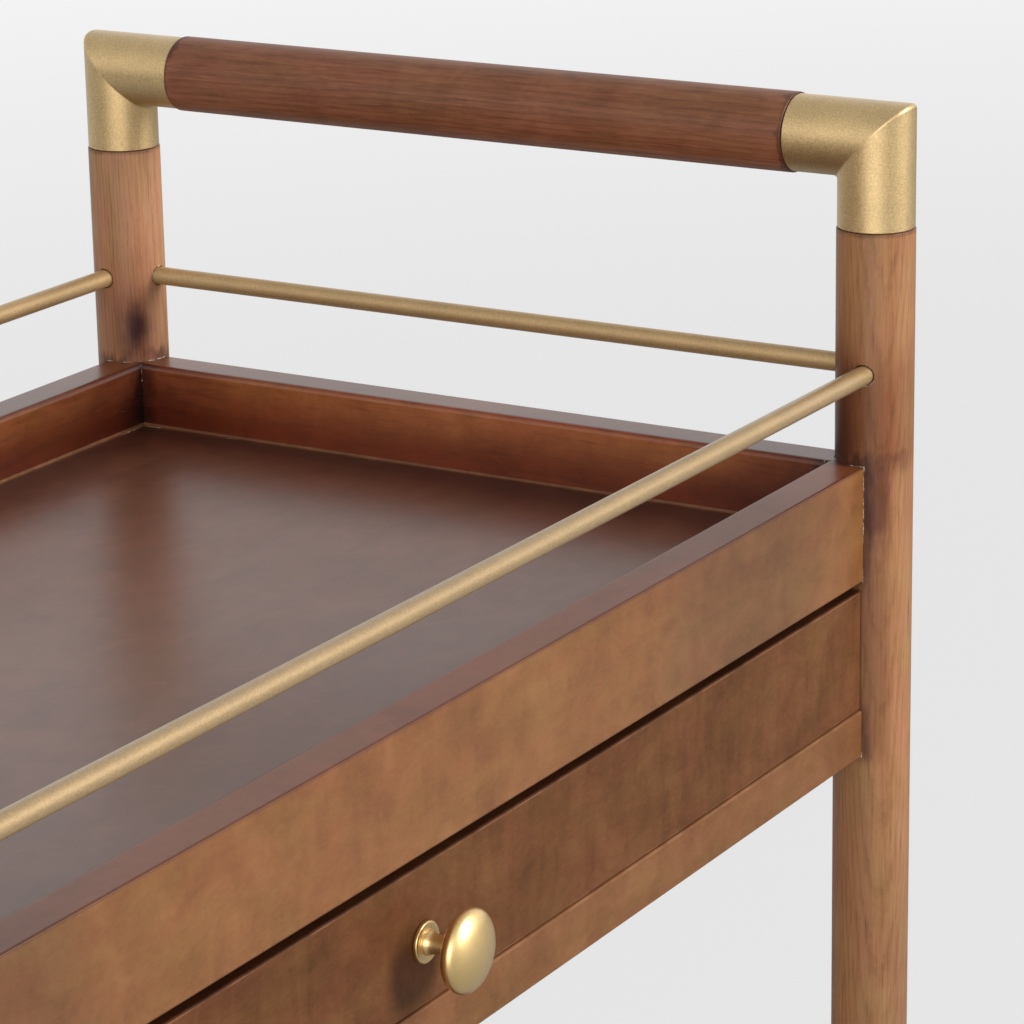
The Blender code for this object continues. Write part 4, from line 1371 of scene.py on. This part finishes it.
def hub_profile():
    rim = WHEEL_RADIUS - TYRE_DEPTH - SEAM
    boss_end = FORK_HALF - FORK_SHEET - TURNING_GAP
    upper = [
        (AXLE_RADIUS + TURNING_GAP, boss_end),
        (HUB_BOSS_END_RADIUS, boss_end),
        (HUB_BOSS_RADIUS, HUB_WEB_HALF),
        (rim - HUB_RIM_DEPTH, HUB_WEB_HALF),
        (rim - HUB_RIM_DEPTH, TYRE_HALF),
        (rim, TYRE_HALF),
    ]
    return eased(upper + mirrored(upper), 2 * METAL_EASE)


def tyre_profile():
    """A tread with rounded shoulders and two grooves."""
    upper = [
        (WHEEL_RADIUS - TYRE_DEPTH, TYRE_HALF),
        (WHEEL_RADIUS - TREAD_SHOULDER, TYRE_HALF),
        (WHEEL_RADIUS, TYRE_HALF - TREAD_SHOULDER),
    ]
    depths = (0, TREAD_GROOVE, TREAD_GROOVE, 0)
    upper += [(WHEEL_RADIUS - depth, edge) for depth, edge in zip(depths, TREAD_GROOVE_EDGES)]
    return eased(upper + mirrored(upper), TREAD_EASE)


def make_castors():
    """A castor under each post, trailing towards the middle of the cart."""
    for corner in CORNERS:
        swivel = post_place(corner) @ turned_by(180 if POST_AXES[corner].x > 0 else 0, "Z")
        hub = swivel @ Matrix.Translation((CASTOR_TRAIL, 0, WHEEL_RADIUS)) @ turned_by(90, "X")
        castor, wheel = f"castor_{corner}", f"wheel_{corner}"
        stem = turned_mesh("stem", stem_profile(), SMALL_TURN_STEPS)
        axle = turned_mesh("axle", axle_profile(), SMALL_TURN_STEPS)
        for piece, mesh, place, material, body, slot, ease in (
            ("socket", turned_mesh("socket", socket_profile(corner)), swivel, "gold", "frame", "brass", 0),
            ("stem", stem, swivel, "steel", "frame", "steel", 0),
            ("fork", fork_mesh(), swivel, "gold", castor, "brass", METAL_EASE),
            ("axle", axle, hub, "steel", castor, "steel", 0),
            ("wheel", turned_mesh("wheel", hub_profile(), ring=True), hub, "gold", wheel, "brass", 0),
            ("tyre", turned_mesh("tyre", tyre_profile(), ring=True), hub, "rubber", wheel, "rubber", 0),
        ):
            node = f"castor_{piece}_{corner}"
            mesh.transform(place)
            add_piece(f"{node}_shown", mesh, material, body, node, ease)


# Stage, light and camera
CAMERA_LENS = 138.53
CAMERA_SENSOR = 36.0
CAMERA_YAW = math.radians(58.9103)
CAMERA_PITCH = math.radians(16.8004)
CAMERA_ROLL = math.radians(1.0623)
CAMERA_FROM_RIM = Vector((-1.39490, -0.66869, 0.44432))
FLOOR_HALF = 30.0
FLOOR_DROP = 0.0002
FLOOR_GLOW_NEAR = 0.65
FLOOR_GLOW_FAR = 0.28
FLOOR_PALE = 0.76
FLOOR_BOUNCE = 0.38
FLOOR_GLOSS = 0.48
FLOOR_ROUGHNESS = 0.9
FLOOR_FADE = (1.5, 7.0)
FLOOR_DIM_PLACE = (0.77, -1.28, 0)
# A glow on the floor that only glossy rays see: a painted reflection for the round pieces
BACK_GLOW = 0.60
BACK_GLOW_X = (-1.7, -1.0)
BACK_GLOW_Y = (0.7, 1.5)
LIGHT_TARGET = Vector((0.0, 0.0, 0.67))
SOFTBOXES = {
    "key": {"azimuth": 290, "rise": 24, "distance": 6.0, "width": 1.8, "height": 3.4, "radiance": 15.9},
    "fill": {"azimuth": 199, "rise": 10, "distance": 3.2, "width": 3.4, "height": 2.3, "radiance": 2.85},
}
WORLD_LIGHT = 0.19
WORLD_TONES = ((0.0, 0.90), (0.12, 1.0), (0.35, 1.0), (0.85, 0.60))
GLOW = 0.965


def make_camera():
    data = bpy.data.cameras.new("camera")
    data.lens = CAMERA_LENS
    data.sensor_width = CAMERA_SENSOR
    camera = add_object("camera", data)
    ahead = Vector((
        math.sin(CAMERA_YAW) * math.cos(CAMERA_PITCH),
        math.cos(CAMERA_YAW) * math.cos(CAMERA_PITCH),
        -math.sin(CAMERA_PITCH),
    ))
    level_right = Vector((math.cos(CAMERA_YAW), -math.sin(CAMERA_YAW), 0))
    level_up = level_right.cross(ahead)
    right = level_right * math.cos(CAMERA_ROLL) - level_up * math.sin(CAMERA_ROLL)
    up = level_right * math.sin(CAMERA_ROLL) + level_up * math.cos(CAMERA_ROLL)
    rim = POST_AXES["front_right"].copy()
    rim.z = RIM_Z
    turned = Matrix((right, up, -ahead)).transposed()
    camera.matrix_world = Matrix.Translation(rim + CAMERA_FROM_RIM) @ turned.to_4x4()
    bpy.context.scene.camera = camera


def seen_by(tree, *rays):
    """1 for the named kinds of ray and 0 for the others."""
    path = tree.nodes.new("ShaderNodeLightPath")
    seen = Field(tree, path.outputs[rays[0]])
    for ray in rays[1:]:
        seen = maths("MAXIMUM", seen, Field(tree, path.outputs[ray]))
    return seen


def mix_shaders(factor, one, other, output):
    """Shows one shader where the factor is 0 and the other where it is 1."""
    links = factor.tree.links
    mix = factor.tree.nodes.new("ShaderNodeMixShader")
    connect(factor, mix.inputs[0])
    links.new(one.outputs[0], mix.inputs[1])
    links.new(other.outputs[0], mix.inputs[2])
    links.new(mix.outputs[0], factor.tree.nodes[output].inputs["Surface"])


def make_world():
    """Even light, seen in the gloss as a pale room that darkens overhead."""
    world = bpy.data.worlds.new("studio")
    bpy.context.scene.world = world
    world.use_nodes = True
    tree = world.node_tree
    light = tree.nodes["Background"]
    set_inputs(light, color=(1, 1, 1), strength=WORLD_LIGHT)
    backdrop = tree.nodes.new("ShaderNodeBackground")
    height = separated(coordinates(tree, "Generated"))[2]
    set_inputs(backdrop, color=ramp(height, WORLD_TONES))
    seen = seen_by(tree, "Is Camera Ray", "Is Glossy Ray", "Is Transmission Ray")
    mix_shaders(seen, light, backdrop, "World Output")


def floor_material():
    """A pale floor that shows the cart's shadow over a glow that grows away from a dimmer place.

    Glossy rays also see a glowing stretch of it behind the cart, a painted reflection in the gloss of round
    pieces.
    """
    material, shader, places = new_material("floor")
    tree = places.tree
    by_camera, by_gloss = seen_by(tree, "Is Camera Ray"), seen_by(tree, "Is Glossy Ray")
    shade = by_camera * (FLOOR_PALE - FLOOR_BOUNCE) + by_gloss * (FLOOR_GLOSS - FLOOR_BOUNCE) + FLOOR_BOUNCE
    set_inputs(shader, base_color=shade, roughness=FLOOR_ROUGHNESS)
    glow = tree.nodes.new("ShaderNodeEmission")
    set_inputs(glow, color=(GLOW, GLOW, GLOW))
    far = smooth_step(distance_to(places, FLOOR_DIM_PLACE), *FLOOR_FADE)
    x, y, _ = separated(places)
    behind = smooth_step(x, *BACK_GLOW_X) * smooth_step(y, *BACK_GLOW_Y) * BACK_GLOW
    share = by_camera * (far * FLOOR_GLOW_FAR + FLOOR_GLOW_NEAR) + by_gloss * behind
    mix_shaders(share, shader, glow, "Material Output")
    return material


def make_floor():
    mesh = bpy.data.meshes.new("floor")
    corners = [(x * FLOOR_HALF, y * FLOOR_HALF, -FLOOR_DROP) for x, y in SQUARE]
    mesh.from_pydata(corners, [], [(0, 1, 2, 3)])
    mesh.materials.append(floor_material())
    floor = add_object("floor", mesh)


def add_softbox(name, azimuth, rise, distance, width, height, radiance):
    """A lamp the size of a studio softbox, turned to the tray and not seen by the camera."""
    data = bpy.data.lights.new(name, "AREA")
    data.shape = "RECTANGLE"
    data.size = width
    data.size_y = height
    data.energy = radiance * math.pi * width * height
    lamp = add_object(name, data)
    level = math.cos(math.radians(rise))
    direction = Vector((
        level * math.cos(math.radians(azimuth)),
        level * math.sin(math.radians(azimuth)),
        math.sin(math.radians(rise)),
    ))
    lamp.location = LIGHT_TARGET + direction * distance
    lamp.rotation_mode = "QUATERNION"
    lamp.rotation_quaternion = direction.to_track_quat("Z", "Y")
    lamp.visible_camera = False


def clear_defaults():
    """Removes whatever a new file starts with, apart from the frame."""
    kept = set(frame["nodes"].values()) | set(frame["bodies"].values())
    for thing in list(bpy.data.objects):
        if thing not in kept:
            bpy.data.objects.remove(thing, do_unlink=True)


clear_defaults()
make_posts()
make_handles()
make_elbows()
make_rods()
make_tray()
make_shelf()
make_glue()
make_drawer()
make_castors()
make_world()
make_floor()
for softbox, settings in SOFTBOXES.items():
    add_softbox(softbox, **settings)
make_camera()
bpy.context.scene.view_settings.view_transform = "Standard"
